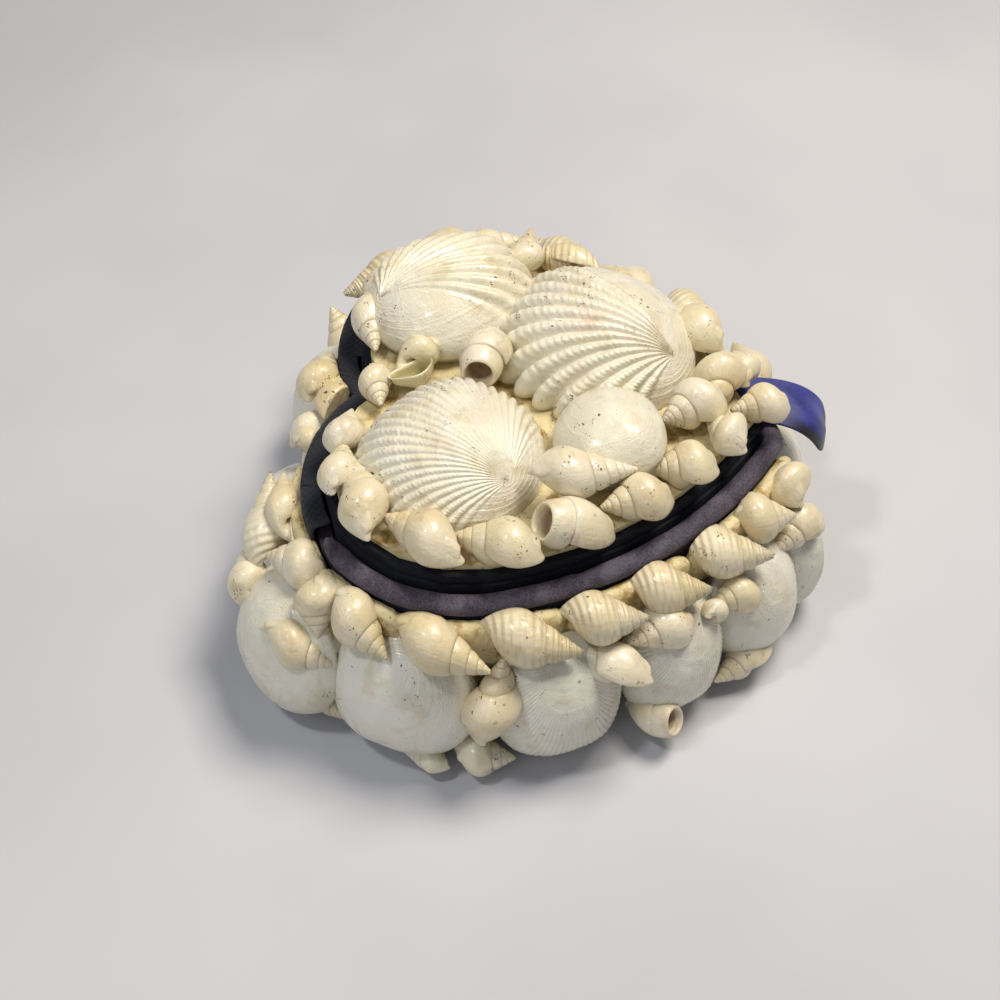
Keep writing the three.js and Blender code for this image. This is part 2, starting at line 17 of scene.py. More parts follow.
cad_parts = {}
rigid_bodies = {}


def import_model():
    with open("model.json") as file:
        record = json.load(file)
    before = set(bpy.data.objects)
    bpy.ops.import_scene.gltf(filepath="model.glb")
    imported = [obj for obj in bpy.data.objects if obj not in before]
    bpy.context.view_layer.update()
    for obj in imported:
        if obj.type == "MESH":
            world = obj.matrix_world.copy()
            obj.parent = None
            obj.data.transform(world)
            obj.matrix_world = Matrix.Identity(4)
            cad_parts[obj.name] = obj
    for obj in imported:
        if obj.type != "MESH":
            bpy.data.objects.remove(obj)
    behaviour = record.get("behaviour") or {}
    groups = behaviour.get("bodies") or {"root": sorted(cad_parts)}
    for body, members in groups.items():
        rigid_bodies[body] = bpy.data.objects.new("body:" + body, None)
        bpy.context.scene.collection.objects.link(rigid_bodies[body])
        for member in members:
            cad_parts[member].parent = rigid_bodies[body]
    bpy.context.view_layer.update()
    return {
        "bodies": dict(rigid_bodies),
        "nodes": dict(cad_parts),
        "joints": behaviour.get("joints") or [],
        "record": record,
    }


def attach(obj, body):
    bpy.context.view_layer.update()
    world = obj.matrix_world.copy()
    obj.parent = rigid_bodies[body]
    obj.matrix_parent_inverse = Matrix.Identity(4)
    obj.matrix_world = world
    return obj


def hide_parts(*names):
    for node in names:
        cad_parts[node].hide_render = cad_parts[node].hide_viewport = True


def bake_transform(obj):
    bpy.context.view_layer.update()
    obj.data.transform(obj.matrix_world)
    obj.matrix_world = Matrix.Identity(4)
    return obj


LOG = logging.getLogger("shell_box")
MM = 0.001
SHELL_UV = "shell_uv"
TONE = "tone"


def linear(hex_colour: str) -> tuple[float, float, float, float]:
    """Turns a colour written as six hex digits into Blender's linear values.

    Args:
        hex_colour: red, green and blue as the eye reads them, such as "e4dcc4".

    Returns:
        The four linear values, with the last one 1.
    """
    channels = [int(hex_colour[i:i + 2], 16) / 255 for i in (0, 2, 4)]
    values = [c / 12.92 if c <= 0.04045 else ((c + 0.055) / 1.055) ** 2.4 for c in channels]
    return (values[0], values[1], values[2], 1.0)


def clear_selection() -> None:
    """Leaves edit mode and deselects every object."""
    if bpy.context.object and bpy.context.object.mode != "OBJECT":
        bpy.ops.object.mode_set(mode="OBJECT")
    bpy.ops.object.select_all(action="DESELECT")


def smoothed(piece: bpy.types.Object, levels: int) -> None:
    """Adds a subdivision surface to a piece and applies it.

    Args:
        piece: the object, which is the active one.
        levels: how many times each face is split.
    """
    surface = piece.modifiers.new("rounding", "SUBSURF")
    surface.levels = levels
    surface.render_levels = levels
    bpy.ops.object.modifier_apply(modifier=surface.name)


def drawn_loops(name: str, loops: np.ndarray) -> bpy.types.Object:
    """Draws a closed skin through loops of points: a circle, extruded once for each further loop.

    Args:
        name: the name of the new object.
        loops: an array of loops by points by three, in metres.

    Returns:
        The new object, closed at both ends, with its faces outwards and smooth.
    """
    count = loops.shape[1]
    middle = loops[0].mean(axis=0)
    reach = float(np.abs(loops[0] - middle).max()) or MM
    clear_selection()
    bpy.ops.mesh.primitive_circle_add(
        vertices=count, radius=reach, fill_type="NOTHING", location=tuple(middle))
    piece = bpy.context.object
    piece.name = name
    bpy.ops.object.transform_apply(location=True, rotation=False, scale=False)
    bpy.ops.object.mode_set(mode="EDIT")
    bpy.ops.mesh.select_all(action="SELECT")
    for _ in range(len(loops) - 1):
        bpy.ops.mesh.extrude_region_move()
    bpy.ops.object.mode_set(mode="OBJECT")
    piece.data.vertices.foreach_set("co", loops.reshape(-1).astype(np.float32))
    close_and_face(piece)
    return piece


def close_and_face(piece: bpy.types.Object) -> None:
    """Fills the open ends of a piece, turns its faces outwards and shades it smooth.

    Args:
        piece: the object, which is the active one.
    """
    bpy.ops.object.mode_set(mode="EDIT")
    bpy.ops.mesh.select_all(action="SELECT")
    bpy.ops.mesh.fill_holes(sides=0)
    bpy.ops.mesh.select_all(action="SELECT")
    bpy.ops.mesh.normals_make_consistent(inside=False)
    bpy.ops.object.mode_set(mode="OBJECT")
    bpy.ops.object.shade_smooth()
    piece.data.update()


def corner_points(piece: bpy.types.Object) -> np.ndarray:
    """Looks up which point is at each corner of the piece's faces.

    Args:
        piece: a mesh object.

    Returns:
        The number of the point, corner by corner.
    """
    corners = np.zeros(len(piece.data.loops), np.int32)
    piece.data.loops.foreach_get("vertex_index", corners)
    return corners


def write_map(piece: bpy.types.Object, flat: np.ndarray) -> None:
    """Gives the piece one UV map, whatever it had before.

    Args:
        piece: a mesh object.
        flat: across and along at each corner of its faces.
    """
    mesh = piece.data
    layer = mesh.uv_layers.get(SHELL_UV) or mesh.uv_layers.new(name=SHELL_UV)
    layer.data.foreach_set("uv", flat.reshape(-1).astype(np.float32))
    for other in [item for item in mesh.uv_layers if item.name != SHELL_UV]:
        mesh.uv_layers.remove(other)


def lay_out(piece: bpy.types.Object, count: int, turn: float) -> None:
    """Writes the UV map of a skin drawn in loops: across is once round a loop, along counts the loops.

    Args:
        piece: an object whose points run loop by loop.
        count: points in a loop.
        turn: loops that make one unit along.
    """
    corners = corner_points(piece)
    across = (corners % count) / count
    along = (corners // count) / turn
    for face in piece.data.polygons:
        span = slice(face.loop_start, face.loop_start + face.loop_total)
        if face.loop_total <= 4 and np.ptp(across[span]) > 0.5:
            across[span] = np.where(across[span] < 0.5, across[span] + 1, across[span])
    write_map(piece, np.column_stack([across, along]))


def points_of(piece: bpy.types.Object) -> np.ndarray:
    """Reads the places of the piece's points.

    Args:
        piece: a mesh object.

    Returns:
        An array of points by three.
    """
    places = np.zeros(len(piece.data.vertices) * 3, np.float32)
    piece.data.vertices.foreach_get("co", places)
    return places.reshape(-1, 3).astype(float)


def set_points(piece: bpy.types.Object, places: np.ndarray) -> None:
    """Moves the piece's points to the given places."""
    piece.data.vertices.foreach_set("co", places.reshape(-1).astype(np.float32))
    piece.data.update()


def set_tone(piece: bpy.types.Object, tone: float | np.ndarray) -> None:
    """Gives the points of a piece one tone, or a tone each.

    Args:
        piece: a mesh object.
        tone: from 0, pale, to 1, warm or dark.
    """
    attribute = piece.data.attributes.get(TONE) or piece.data.attributes.new(TONE, "FLOAT", "POINT")
    values = np.broadcast_to(np.asarray(tone, np.float32), len(piece.data.vertices))
    attribute.data.foreach_set("value", np.ascontiguousarray(values))


def copied(pattern: bpy.types.Object, name: str, place: Matrix) -> bpy.types.Object:
    """Copies a pattern with its own mesh, and puts the place into the mesh.

    Args:
        pattern: the modelled shape, at the origin.
        name: the name of the copy.
        place: where the copy goes.

    Returns:
        The copy, whose object stays at the origin.
    """
    piece = bpy.data.objects.new(name, pattern.data.copy())
    piece.data.name = name
    bpy.context.scene.collection.objects.link(piece)
    piece.data.transform(place)
    piece.data.update()
    return piece


def lumps(places: np.ndarray, size: float, seed: float) -> np.ndarray:
    """Smooth lumps over a surface, the same each time.

    Args:
        places: points by three, in metres.
        size: how far apart the lumps are.
        seed: which set of lumps.

    Returns:
        A value from about -1 to 1 for each point.
    """
    p = places / size * 2 * math.pi
    first = np.sin(p[..., 0] + seed) * np.sin(p[..., 1] * 0.9 + 1.7 * seed) * np.sin(p[..., 2] * 1.1 + 0.6)
    second = np.sin(p[..., 0] * 1.9 + 2.1 * seed) * np.cos(p[..., 1] * 2.3 - seed) * np.sin(p[..., 2] * 2.1)
    return 0.7 * first + 0.3 * second


@dataclass(frozen=True)
class HeartOutline:
    """The heart, measured along the middle of the rim roll, in metres."""

    lobe_radius: float = 0.025
    lobe_spread: float = 0.015
    side_radius: float = 0.067
    tip_reach: float = 0.049
    smoothing: float = 0.02

    @cached_property
    def lobe_line(self) -> float:
        """How far the line through the lobe centres stands from the middle of the box."""
        return (self.tip_reach - self.lobe_radius) / 2

    @cached_property
    def side_centre(self) -> Vector:
        """Centre of the right-hand side arc, from the middle of the lobe line."""
        lobe = Vector((self.lobe_spread, 0))
        to_tip = Vector((0, -self.tip_reach)) - lobe
        span = to_tip.length
        reach = self.side_radius - self.lobe_radius
        along = (reach ** 2 - self.side_radius ** 2 + span ** 2) / (2 * span)
        across = math.sqrt(max(reach ** 2 - along ** 2, 0))
        heading = to_tip / span
        return lobe + heading * along + Vector((heading.y, -heading.x)) * across

    @cached_property
    def join_angle(self) -> float:
        """Angle at which the lobe arc runs into the side arc."""
        return math.atan2(-self.side_centre.y, self.lobe_spread - self.side_centre.x)

    @cached_property
    def notch_angle(self) -> float:
        """Angle on the lobe arc at the notch."""
        return math.acos(-self.lobe_spread / self.lobe_radius)

    @cached_property
    def tip_angle(self) -> float:
        """Angle on the side arc at the tip."""
        return -math.acos(-self.side_centre.x / self.side_radius)

    @cached_property
    def lobe_run(self) -> float:
        """Length of one lobe arc."""
        return self.lobe_radius * (self.notch_angle - self.join_angle)

    @cached_property
    def half_run(self) -> float:
        """Length of half the outline."""
        return self.lobe_run + self.side_radius * (self.join_angle - self.tip_angle)

    def point(self, share: float) -> Vector:
        """A point on the outline.

        Args:
            share: 0 at the notch, going round by the -X lobe to 0.5 at the tip.

        Returns:
            The point in plan.
        """
        turn = share - math.floor(share)
        mirrored = turn > 0.5
        run = (1 - turn if mirrored else turn) * 2 * self.half_run
        if run < self.lobe_run:
            centre_x, centre_y, radius = self.lobe_spread, 0.0, self.lobe_radius
            angle = self.notch_angle - run / radius
        else:
            (centre_x, centre_y), radius = self.side_centre, self.side_radius
            angle = self.join_angle - (run - self.lobe_run) / radius
        x = centre_x + radius * math.cos(angle)
        y = centre_y + radius * math.sin(angle)
        return Vector((x if mirrored else -x, y + self.lobe_line))

    def frame(self, share: float, out: float) -> tuple[Vector, Vector, Vector]:
        """A place by the outline.

        Args:
            share: how far round the outline.
            out: distance outside it.

        Returns:
            The point, the direction along the outline and the direction outwards, all in plan.
        """
        along = (self.point(share + self.smoothing) - self.point(share - self.smoothing)).normalized()
        outward = Vector((along.y, -along.x))
        return self.point(share) + outward * out, along, outward

    def keep_outside(self, places: np.ndarray, least: float) -> np.ndarray:
        """Moves points that lie too far inside the outline straight out to a distance from it.

        Args:
            places: points by three.
            least: the least distance outside the outline, which may be below zero.

        Returns:
            The moved points.
        """
        moved = places.copy()
        sign = np.where(moved[:, 0] < 0, -1.0, 1.0)
        x = np.abs(moved[:, 0])
        y = moved[:, 1] - self.lobe_line
        by_lobe = np.arctan2(y, x - self.lobe_spread) > self.join_angle
        centre_x = np.where(by_lobe, self.lobe_spread, self.side_centre.x)
        centre_y = np.where(by_lobe, 0.0, self.side_centre.y)
        radius = np.where(by_lobe, self.lobe_radius, self.side_radius)
        dx, dy = x - centre_x, y - centre_y
        far = np.maximum(np.hypot(dx, dy), 1e-9)
        pushed = np.maximum(far, radius + least)
        moved[:, 0] = sign * np.maximum(centre_x + dx / far * pushed, 0)
        moved[:, 1] = centre_y + dy / far * pushed + self.lobe_line
        return moved


HEART = HeartOutline()


class NodeSheet:
    """Adds nodes to one tree and joins them."""

    MIX_INPUTS = (0, 6, 7)
    MIX_OUTPUT = 2

    def __init__(self, tree: bpy.types.NodeTree) -> None:
        """Keeps the tree.

        Args:
            tree: a material's or a group's node tree.
        """
        self.tree = tree

    def put(self, socket: bpy.types.NodeSocket, value: object) -> None:
        """Joins a socket to another one, or sets its value.

        Args:
            socket: the input.
            value: a socket to join it to, or the value.
        """
        if isinstance(value, bpy.types.NodeSocket):
            self.tree.links.new(value, socket)
        else:
            socket.default_value = value

    def add(self, kind: str, sockets: dict[str, object] | None = None, **options: object) -> bpy.types.Node:
        """Adds a node.

        Args:
            kind: Blender's name of the node type.
            sockets: value or source of each input, by name or number.
            options: settings of the node itself.

        Returns:
            The node.
        """
        node = self.tree.nodes.new(kind)
        for key, value in options.items():
            setattr(node, key, value)
        for key, value in (sockets or {}).items():
            self.put(node.inputs[key], value)
        return node

    def calc(self, operation: str, *values: object, clamp: bool = False) -> bpy.types.NodeSocket:
        """One step of arithmetic.

        Args:
            operation: Blender's name of the step.
            values: numbers or sockets.
            clamp: keeps the result from 0 to 1.

        Returns:
            The result.
        """
        node = self.add("ShaderNodeMath", operation=operation, use_clamp=clamp)
        for socket, value in zip(node.inputs, values):
            self.put(socket, value)
        return node.outputs[0]

    def blend(self, share: object, first: object, second: object) -> bpy.types.NodeSocket:
        """Mixes two colours.

        Args:
            share: how much of the second.
            first: the colour at 0.
            second: the colour at 1.

        Returns:
            The mixed colour.
        """
        node = self.add("ShaderNodeMix", data_type="RGBA")
        for number, value in zip(self.MIX_INPUTS, (share, first, second)):
            self.put(node.inputs[number], value)
        return node.outputs[self.MIX_OUTPUT]

    def remap(self, value: object, low: object, high: object, to_low: float = 0.0,
              to_high: float = 1.0) -> bpy.types.NodeSocket:
        """Stretches a range onto another one, smoothly and without going past its ends.

        Args:
            value: the value to stretch.
            low: where the range starts.
            high: where it ends.
            to_low: the result at its start.
            to_high: the result at its end.

        Returns:
            The result.
        """
        node = self.add("ShaderNodeMapRange", interpolation_type="SMOOTHSTEP")
        for socket, number in zip(node.inputs, (value, low, high, to_low, to_high)):
            self.put(socket, number)
        return node.outputs[0]

    def noise(self, place: object, scale: object, detail: float = 3.0,
              rough: float = 0.55) -> bpy.types.NodeSocket:
        """Adds a noise texture.

        Args:
            place: where each point is.
            scale: patches to the metre.
            detail: finer layers on top of the first.
            rough: how strong the finer layers are.

        Returns:
            The noise, from 0 to 1 with most of it near 0.5.
        """
        return self.add("ShaderNodeTexNoise", {
            "Vector": place, "Scale": scale, "Detail": detail, "Roughness": rough}).outputs[0]

    def place(self) -> bpy.types.NodeSocket:
        """Adds the place of each point in the piece's own space."""
        return self.add("ShaderNodeTexCoord").outputs["Object"]

    def flat(self) -> bpy.types.NodeSocket:
        """Adds the piece's own UV map."""
        return self.add("ShaderNodeUVMap", uv_map=SHELL_UV).outputs[0]

    def tone(self) -> bpy.types.NodeSocket:
        """Adds the tone that is written on the piece's points."""
        return self.add("ShaderNodeAttribute", attribute_name=TONE).outputs["Fac"]

    def placed(self, group: bpy.types.NodeTree, sockets: dict[str, object]) -> bpy.types.Node:
        """Adds a shared group with this finish's own values."""
        return self.add("ShaderNodeGroup", sockets, node_tree=group)

    def bump(self, shader: bpy.types.Node, height: object, distance: float, strength: float) -> None:
        """Raises the surface by a bump.

        Args:
            shader: the Principled BSDF.
            height: from 0 to about 1.
            distance: what a height of 1 stands for, in metres.
            strength: how much of it shows.
        """
        node = self.add("ShaderNodeBump", {"Height": height, "Distance": distance, "Strength": strength})
        self.put(shader.inputs["Normal"], node.outputs[0])


def new_group(name: str, inputs: list[tuple[str, str, object]], outputs: list[tuple[str, str]]
              ) -> tuple[bpy.types.NodeTree, NodeSheet, bpy.types.Node, bpy.types.Node]:
    """Starts a shader node group.

    Args:
        name: the group's name.
        inputs: name, socket type and first value of each input.
        outputs: name and socket type of each output.

    Returns:
        The group, a sheet for its nodes, and the nodes of its inputs and outputs.
    """
    group = bpy.data.node_groups.new(name, "ShaderNodeTree")
    for label, kind, value in inputs:
        socket = group.interface.new_socket(label, in_out="INPUT", socket_type=kind)
        if value is not None:
            socket.default_value = value
    for label, kind in outputs:
        group.interface.new_socket(label, in_out="OUTPUT", socket_type=kind)
    return group, NodeSheet(group), group.nodes.new("NodeGroupInput"), group.nodes.new("NodeGroupOutput")


class Effects:
    """The node groups that several finishes share, each built once."""

    SPECK_EDGE_SCALE = 2600.0
    SPECK_PATCH_SCALE = 60.0
    WAVER_SCALE = 220.0
    STROKE_SCALE = 260.0

    def __init__(self) -> None:
        """Builds all the groups."""
        self.specks = self.build_specks()
        self.growth = self.build_growth()
        self.blotches = self.build_blotches()
        self.pile = self.build_pile()
        self.weave = self.build_weave()

    def build_specks(self) -> bpy.types.NodeTree:
        """Small dark grains scattered over a shell, some places more than others.

        Returns:
            The group.
        """
        group, sheet, given, result = new_group(
            "dark_specks",
            [("Vector", "NodeSocketVector", None), ("Per Metre", "NodeSocketFloat", 500.0),
             ("Share", "NodeSocketFloat", 0.2)],
            [("Mask", "NodeSocketFloat")])
        cells = sheet.add("ShaderNodeTexVoronoi", {
            "Vector": given.outputs["Vector"], "Scale": given.outputs["Per Metre"]})
        picked = sheet.add("ShaderNodeSeparateColor", {"Color": cells.outputs["Color"]})
        edge = sheet.noise(given.outputs["Vector"], self.SPECK_EDGE_SCALE)
        size = sheet.calc("MULTIPLY", sheet.calc("POWER", picked.outputs["Green"], 2.5), 0.26)
        ragged = sheet.calc("MULTIPLY", sheet.calc("SUBTRACT", edge, 0.42), 0.75)
        reach = sheet.calc("ADD", size, ragged)
        spot = sheet.remap(cells.outputs["Distance"], reach, sheet.calc("MULTIPLY", reach, 0.7))
        chosen = sheet.calc("LESS_THAN", picked.outputs["Red"], given.outputs["Share"])
        patches = sheet.noise(given.outputs["Vector"], self.SPECK_PATCH_SCALE)
        where = sheet.remap(patches, 0.4, 0.56)
        mask = sheet.calc("MULTIPLY", sheet.calc("MULTIPLY", spot, chosen), where)
        sheet.put(result.inputs["Mask"], mask)
        return group

    def build_growth(self) -> bpy.types.NodeTree:
        """Lines of growth across a shell, uneven in their spacing.

        Returns:
            The group.
        """
        group, sheet, given, result = new_group(
            "growth_lines",
            [("Along", "NodeSocketFloat", 0.0), ("Lines", "NodeSocketFloat", 20.0),
             ("Vector", "NodeSocketVector", None), ("Waver", "NodeSocketFloat", 0.3)],
            [("Height", "NodeSocketFloat")])
        waver = sheet.noise(given.outputs["Vector"], self.WAVER_SCALE)
        shift = sheet.calc("MULTIPLY", waver, given.outputs["Waver"])
        turns = sheet.calc("MULTIPLY", given.outputs["Along"], given.outputs["Lines"])
        line = sheet.noise(sheet.add("ShaderNodeCombineXYZ", {
            "X": sheet.calc("ADD", turns, shift)}).outputs[0], 1.0, 4.0, 0.6)
        sheet.put(result.inputs["Height"], line)
        return group

    def build_blotches(self) -> bpy.types.NodeTree:
        """Soft patches, such as varnish or glue that has dried darker.

        Returns:
            The group.
        """
        group, sheet, given, result = new_group(
            "blotches",
            [("Vector", "NodeSocketVector", None), ("Per Metre", "NodeSocketFloat", 150.0),
             ("Share", "NodeSocketFloat", 0.4)],
            [("Mask", "NodeSocketFloat")])
        cloud = sheet.noise(given.outputs["Vector"], given.outputs["Per Metre"], 4.0, 0.6)
        start = sheet.calc("SUBTRACT", 0.78, sheet.calc("MULTIPLY", given.outputs["Share"], 0.5))
        mask = sheet.remap(cloud, start, sheet.calc("ADD", start, 0.16))
        sheet.put(result.inputs["Mask"], mask)
        return group

    def build_pile(self) -> bpy.types.NodeTree:
        """Short fibres of a brushed cloth, with lighter and darker strokes.

        Returns:
            The group.
        """
        group, sheet, given, result = new_group(
            "cloth_pile",
            [("Vector", "NodeSocketVector", None), ("Per Metre", "NodeSocketFloat", 3000.0)],
            [("Height", "NodeSocketFloat"), ("Shade", "NodeSocketFloat")])
        fibre = sheet.noise(given.outputs["Vector"], given.outputs["Per Metre"], 4.0, 0.7)
        stroke = sheet.noise(given.outputs["Vector"], self.STROKE_SCALE, 3.0, 0.6)
        shade = sheet.calc("ADD", sheet.calc("MULTIPLY", fibre, 0.5), sheet.calc("MULTIPLY", stroke, 0.5))
        sheet.put(result.inputs["Height"], fibre)
        sheet.put(result.inputs["Shade"], sheet.remap(shade, 0.36, 0.64))
        return group

    def build_weave(self) -> bpy.types.NodeTree:
        """Threads over and under each other, on a flat map in metres.

        Returns:
            The group.
        """
        group, sheet, given, result = new_group(
            "plain_weave",
            [("Vector", "NodeSocketVector", None), ("Threads", "NodeSocketFloat", 2400.0)],
            [("Height", "NodeSocketFloat")])
        place = sheet.add("ShaderNodeSeparateXYZ", {"Vector": given.outputs["Vector"]})
        step = sheet.calc("MULTIPLY", given.outputs["Threads"], math.pi)
        across = sheet.calc("SINE", sheet.calc("MULTIPLY", place.outputs["X"], step))
        along = sheet.calc("SINE", sheet.calc("MULTIPLY", place.outputs["Y"], step))
        height = sheet.calc("MULTIPLY_ADD", sheet.calc("MULTIPLY", across, along), 0.5, 0.5)
        sheet.put(result.inputs["Height"], height)
        return group


def start_material(name: str) -> tuple[bpy.types.Material, NodeSheet, bpy.types.Node]:
    """Starts a material.

    Args:
        name: the material's name.

    Returns:
        The material, a sheet for its nodes, and its Principled BSDF.
    """
    material = bpy.data.materials.new(name)
    material.use_nodes = True
    material.node_tree.nodes.clear()
    sheet = NodeSheet(material.node_tree)
    shader = sheet.add("ShaderNodeBsdfPrincipled")
    sheet.add("ShaderNodeOutputMaterial", {"Surface": shader.outputs[0]})
    return material, sheet, shader


@dataclass(frozen=True)
class ShellFinish:
    """Varnished shell: cream calcium with growth lines, stains in the seams and dark specks."""

    name: str
    pale: str
    warm: str
    seam: str
    growth_lines: float = 22.0
    growth_depth: float = 0.35
    spiral_lines: float = 0.0
    spiral_depth: float = 0.0
    seam_width: float = 0.045
    seam_share: float = 0.65
    speck_share: float = 0.13
    stain_share: float = 0.3
    pink_share: float = 0.0
    relief: float = 0.0005
    grain: float = 0.15
    varnish: float = 0.6
    thin_varnish: float = 0.1
    tone_share: float = 0.6
    line_share: float = 0.22
    blush: str = "e8c3c0"
    blush_strength: float = 0.35
    speck: str = "3d3224"
    speck_strength: float = 0.9
    cloud_scale: float = 130.0
    blush_scale: float = 120.0
    stain_scale: float = 210.0
    speck_scale: float = 850.0
    wear_scale: float = 420.0
    pit_scale: float = 900.0
    pit_depth: float = 0.35
    grain_scale: float = 2800.0
    varnish_scale: float = 320.0

    def build(self, effects: Effects) -> bpy.types.Material:
        """Builds the material.

        Args:
            effects: the shared node groups.

        Returns:
            The material.
        """
        material, sheet, shader = start_material(self.name)
        place = sheet.place()
        skin = sheet.add("ShaderNodeSeparateXYZ", {"Vector": sheet.flat()})
        growth = sheet.placed(effects.growth, {
            "Along": skin.outputs["Y"], "Lines": self.growth_lines, "Vector": place, "Waver": 1.2})
        line = growth.outputs["Height"]
        sheet.put(shader.inputs["Base Color"], self.colour(sheet, effects, place, skin.outputs["X"], line))
        worn = sheet.noise(place, self.wear_scale, 4.0)
        sheet.put(shader.inputs["Roughness"], sheet.remap(worn, 0.3, 0.7, 0.28, 0.5))
        dull = sheet.noise(place, self.varnish_scale, 4.0)
        sheet.put(shader.inputs["Coat Weight"], sheet.remap(dull, 0.35, 0.7, self.varnish, self.thin_varnish))
        shader.inputs["Coat Roughness"].default_value = 0.16
        sheet.bump(shader, self.height(sheet, place, skin.outputs["X"], line), self.relief, 0.8)
        shader.inputs["Subsurface Weight"].default_value = 0.12
        shader.inputs["Subsurface Radius"].default_value = (0.0012, 0.001, 0.0007)
        shader.inputs["Subsurface Scale"].default_value = 1.0
        return material

    def colour(self, sheet: NodeSheet, effects: Effects, place: bpy.types.NodeSocket,
               across: bpy.types.NodeSocket, line: bpy.types.NodeSocket) -> bpy.types.NodeSocket:
        """Builds the colour: cream, growth lines, a pink blush, stained seams and patches, then specks.

        Args:
            sheet: the material's nodes.
            effects: the shared node groups.
            place: where each point is.
            across: share of the way round from the seam.
            line: the growth lines.

        Returns:
            The colour.
        """
        cloud = sheet.remap(sheet.noise(place, self.cloud_scale, 4.0), 0.35, 0.65)
        mixed = sheet.calc("ADD", sheet.calc("MULTIPLY", sheet.tone(), self.tone_share),
                           sheet.calc("MULTIPLY", cloud, 1 - self.tone_share), clamp=True)
        colour = sheet.blend(mixed, linear(self.pale), linear(self.warm))
        colour = sheet.blend(sheet.remap(line, 0.56, 0.74, 0.0, self.line_share), colour, linear(self.seam))
        if self.pink_share:
            flush = sheet.placed(effects.blotches, {
                "Vector": place, "Per Metre": self.blush_scale, "Share": self.pink_share})
            faint = sheet.calc("MULTIPLY", flush.outputs["Mask"], self.blush_strength)
            colour = sheet.blend(faint, colour, linear(self.blush))
        near_seam = sheet.calc("PINGPONG", across, 0.5)
        seam = sheet.remap(near_seam, self.seam_width, 0.0, 0.0, self.seam_share)
        patchy = sheet.placed(effects.blotches, {
            "Vector": place, "Per Metre": self.stain_scale, "Share": 0.5})
        stain = sheet.calc("MULTIPLY", patchy.outputs["Mask"], self.stain_share)
        colour = sheet.blend(sheet.calc("MAXIMUM", seam, stain), colour, linear(self.seam))
        specks = sheet.placed(effects.specks, {
            "Vector": place, "Per Metre": self.speck_scale, "Share": self.speck_share})
        shown = sheet.calc("MULTIPLY", specks.outputs["Mask"], self.speck_strength)
        return sheet.blend(shown, colour, linear(self.speck))

    def height(self, sheet: NodeSheet, place: bpy.types.NodeSocket, across: bpy.types.NodeSocket,
               line: bpy.types.NodeSocket) -> bpy.types.NodeSocket:
        """Builds the relief: growth lines, spiral lines, pits and grains.

        Args:
            sheet: the material's nodes.
            place: where each point is.
            across: share of the way round from the seam.
            line: the growth lines.

        Returns:
            The height.
        """
        height = sheet.calc("MULTIPLY", line, self.growth_depth)
        if self.spiral_lines:
            wave = sheet.calc("SINE", sheet.calc("MULTIPLY", across, self.spiral_lines * 2 * math.pi))
            height = sheet.calc("MULTIPLY_ADD", wave, self.spiral_depth, height)
        pits = sheet.noise(place, self.pit_scale)
        height = sheet.calc("MULTIPLY_ADD", pits, self.pit_depth, height)
        grains = sheet.noise(place, self.grain_scale, 2.0)
        return sheet.calc("MULTIPLY_ADD", grains, self.grain, height)


@dataclass(frozen=True)
class GlueFinish:
    """Craft glue, dried yellowish and lumpy, with sand in it."""

    name: str = "craft_glue"
    pale: str = "d6c799"
    dark: str = "a3864a"
    sand: str = "5a4c30"
    roughness: float = 0.38
    patch_scale: float = 260.0
    sand_scale: float = 900.0
    sand_strength: float = 0.8
    lump_scale: float = 500.0
    relief: float = 0.0007

    def build(self, effects: Effects) -> bpy.types.Material:
        """Builds the material.

        Args:
            effects: the shared node groups.

        Returns:
            The material.
        """
        material, sheet, shader = start_material(self.name)
        place = sheet.place()
        patches = sheet.placed(effects.blotches, {
            "Vector": place, "Per Metre": self.patch_scale, "Share": 0.55})
        colour = sheet.blend(patches.outputs["Mask"], linear(self.pale), linear(self.dark))
        grains = sheet.placed(effects.specks, {
            "Vector": place, "Per Metre": self.sand_scale, "Share": 0.3})
        shown = sheet.calc("MULTIPLY", grains.outputs["Mask"], self.sand_strength)
        sheet.put(shader.inputs["Base Color"], sheet.blend(shown, colour, linear(self.sand)))
        lumpy = sheet.noise(place, self.lump_scale, 4.0)
        sheet.put(shader.inputs["Roughness"], sheet.remap(lumpy, 0.3, 0.7, self.roughness, 0.6))
        sheet.bump(shader, lumpy, self.relief, 0.9)
        shader.inputs["Subsurface Weight"].default_value = 0.2
        shader.inputs["Subsurface Radius"].default_value = (0.002, 0.0014, 0.0007)
        shader.inputs["Subsurface Scale"].default_value = 1.0
        return material


@dataclass(frozen=True)
class VelvetFinish:
    """Brushed cloth with a short pile and a soft sheen."""

    name: str
    deep: str
    light: str
    sheen: float = 0.5
    sheen_tint: str = "8f86a0"
    relief: float = 0.0003
    fibre_scale: float = 2600.0
    smoothest: float = 0.82
    roughest: float = 0.98

    def build(self, effects: Effects) -> bpy.types.Material:
        """Builds the material.

        Args:
            effects: the shared node groups.

        Returns:
            The material.
        """
        material, sheet, shader = start_material(self.name)
        pile = sheet.placed(effects.pile, {"Vector": sheet.place(), "Per Metre": self.fibre_scale})
        shade = pile.outputs["Shade"]
        sheet.put(shader.inputs["Base Color"], sheet.blend(shade, linear(self.deep), linear(self.light)))
        sheet.put(shader.inputs["Roughness"], sheet.remap(shade, 0.0, 1.0, self.smoothest, self.roughest))
        shader.inputs["Sheen Weight"].default_value = self.sheen
        shader.inputs["Sheen Roughness"].default_value = 0.45
        shader.inputs["Sheen Tint"].default_value = linear(self.sheen_tint)
        sheet.bump(shader, pile.outputs["Height"], self.relief, 0.9)
        return material


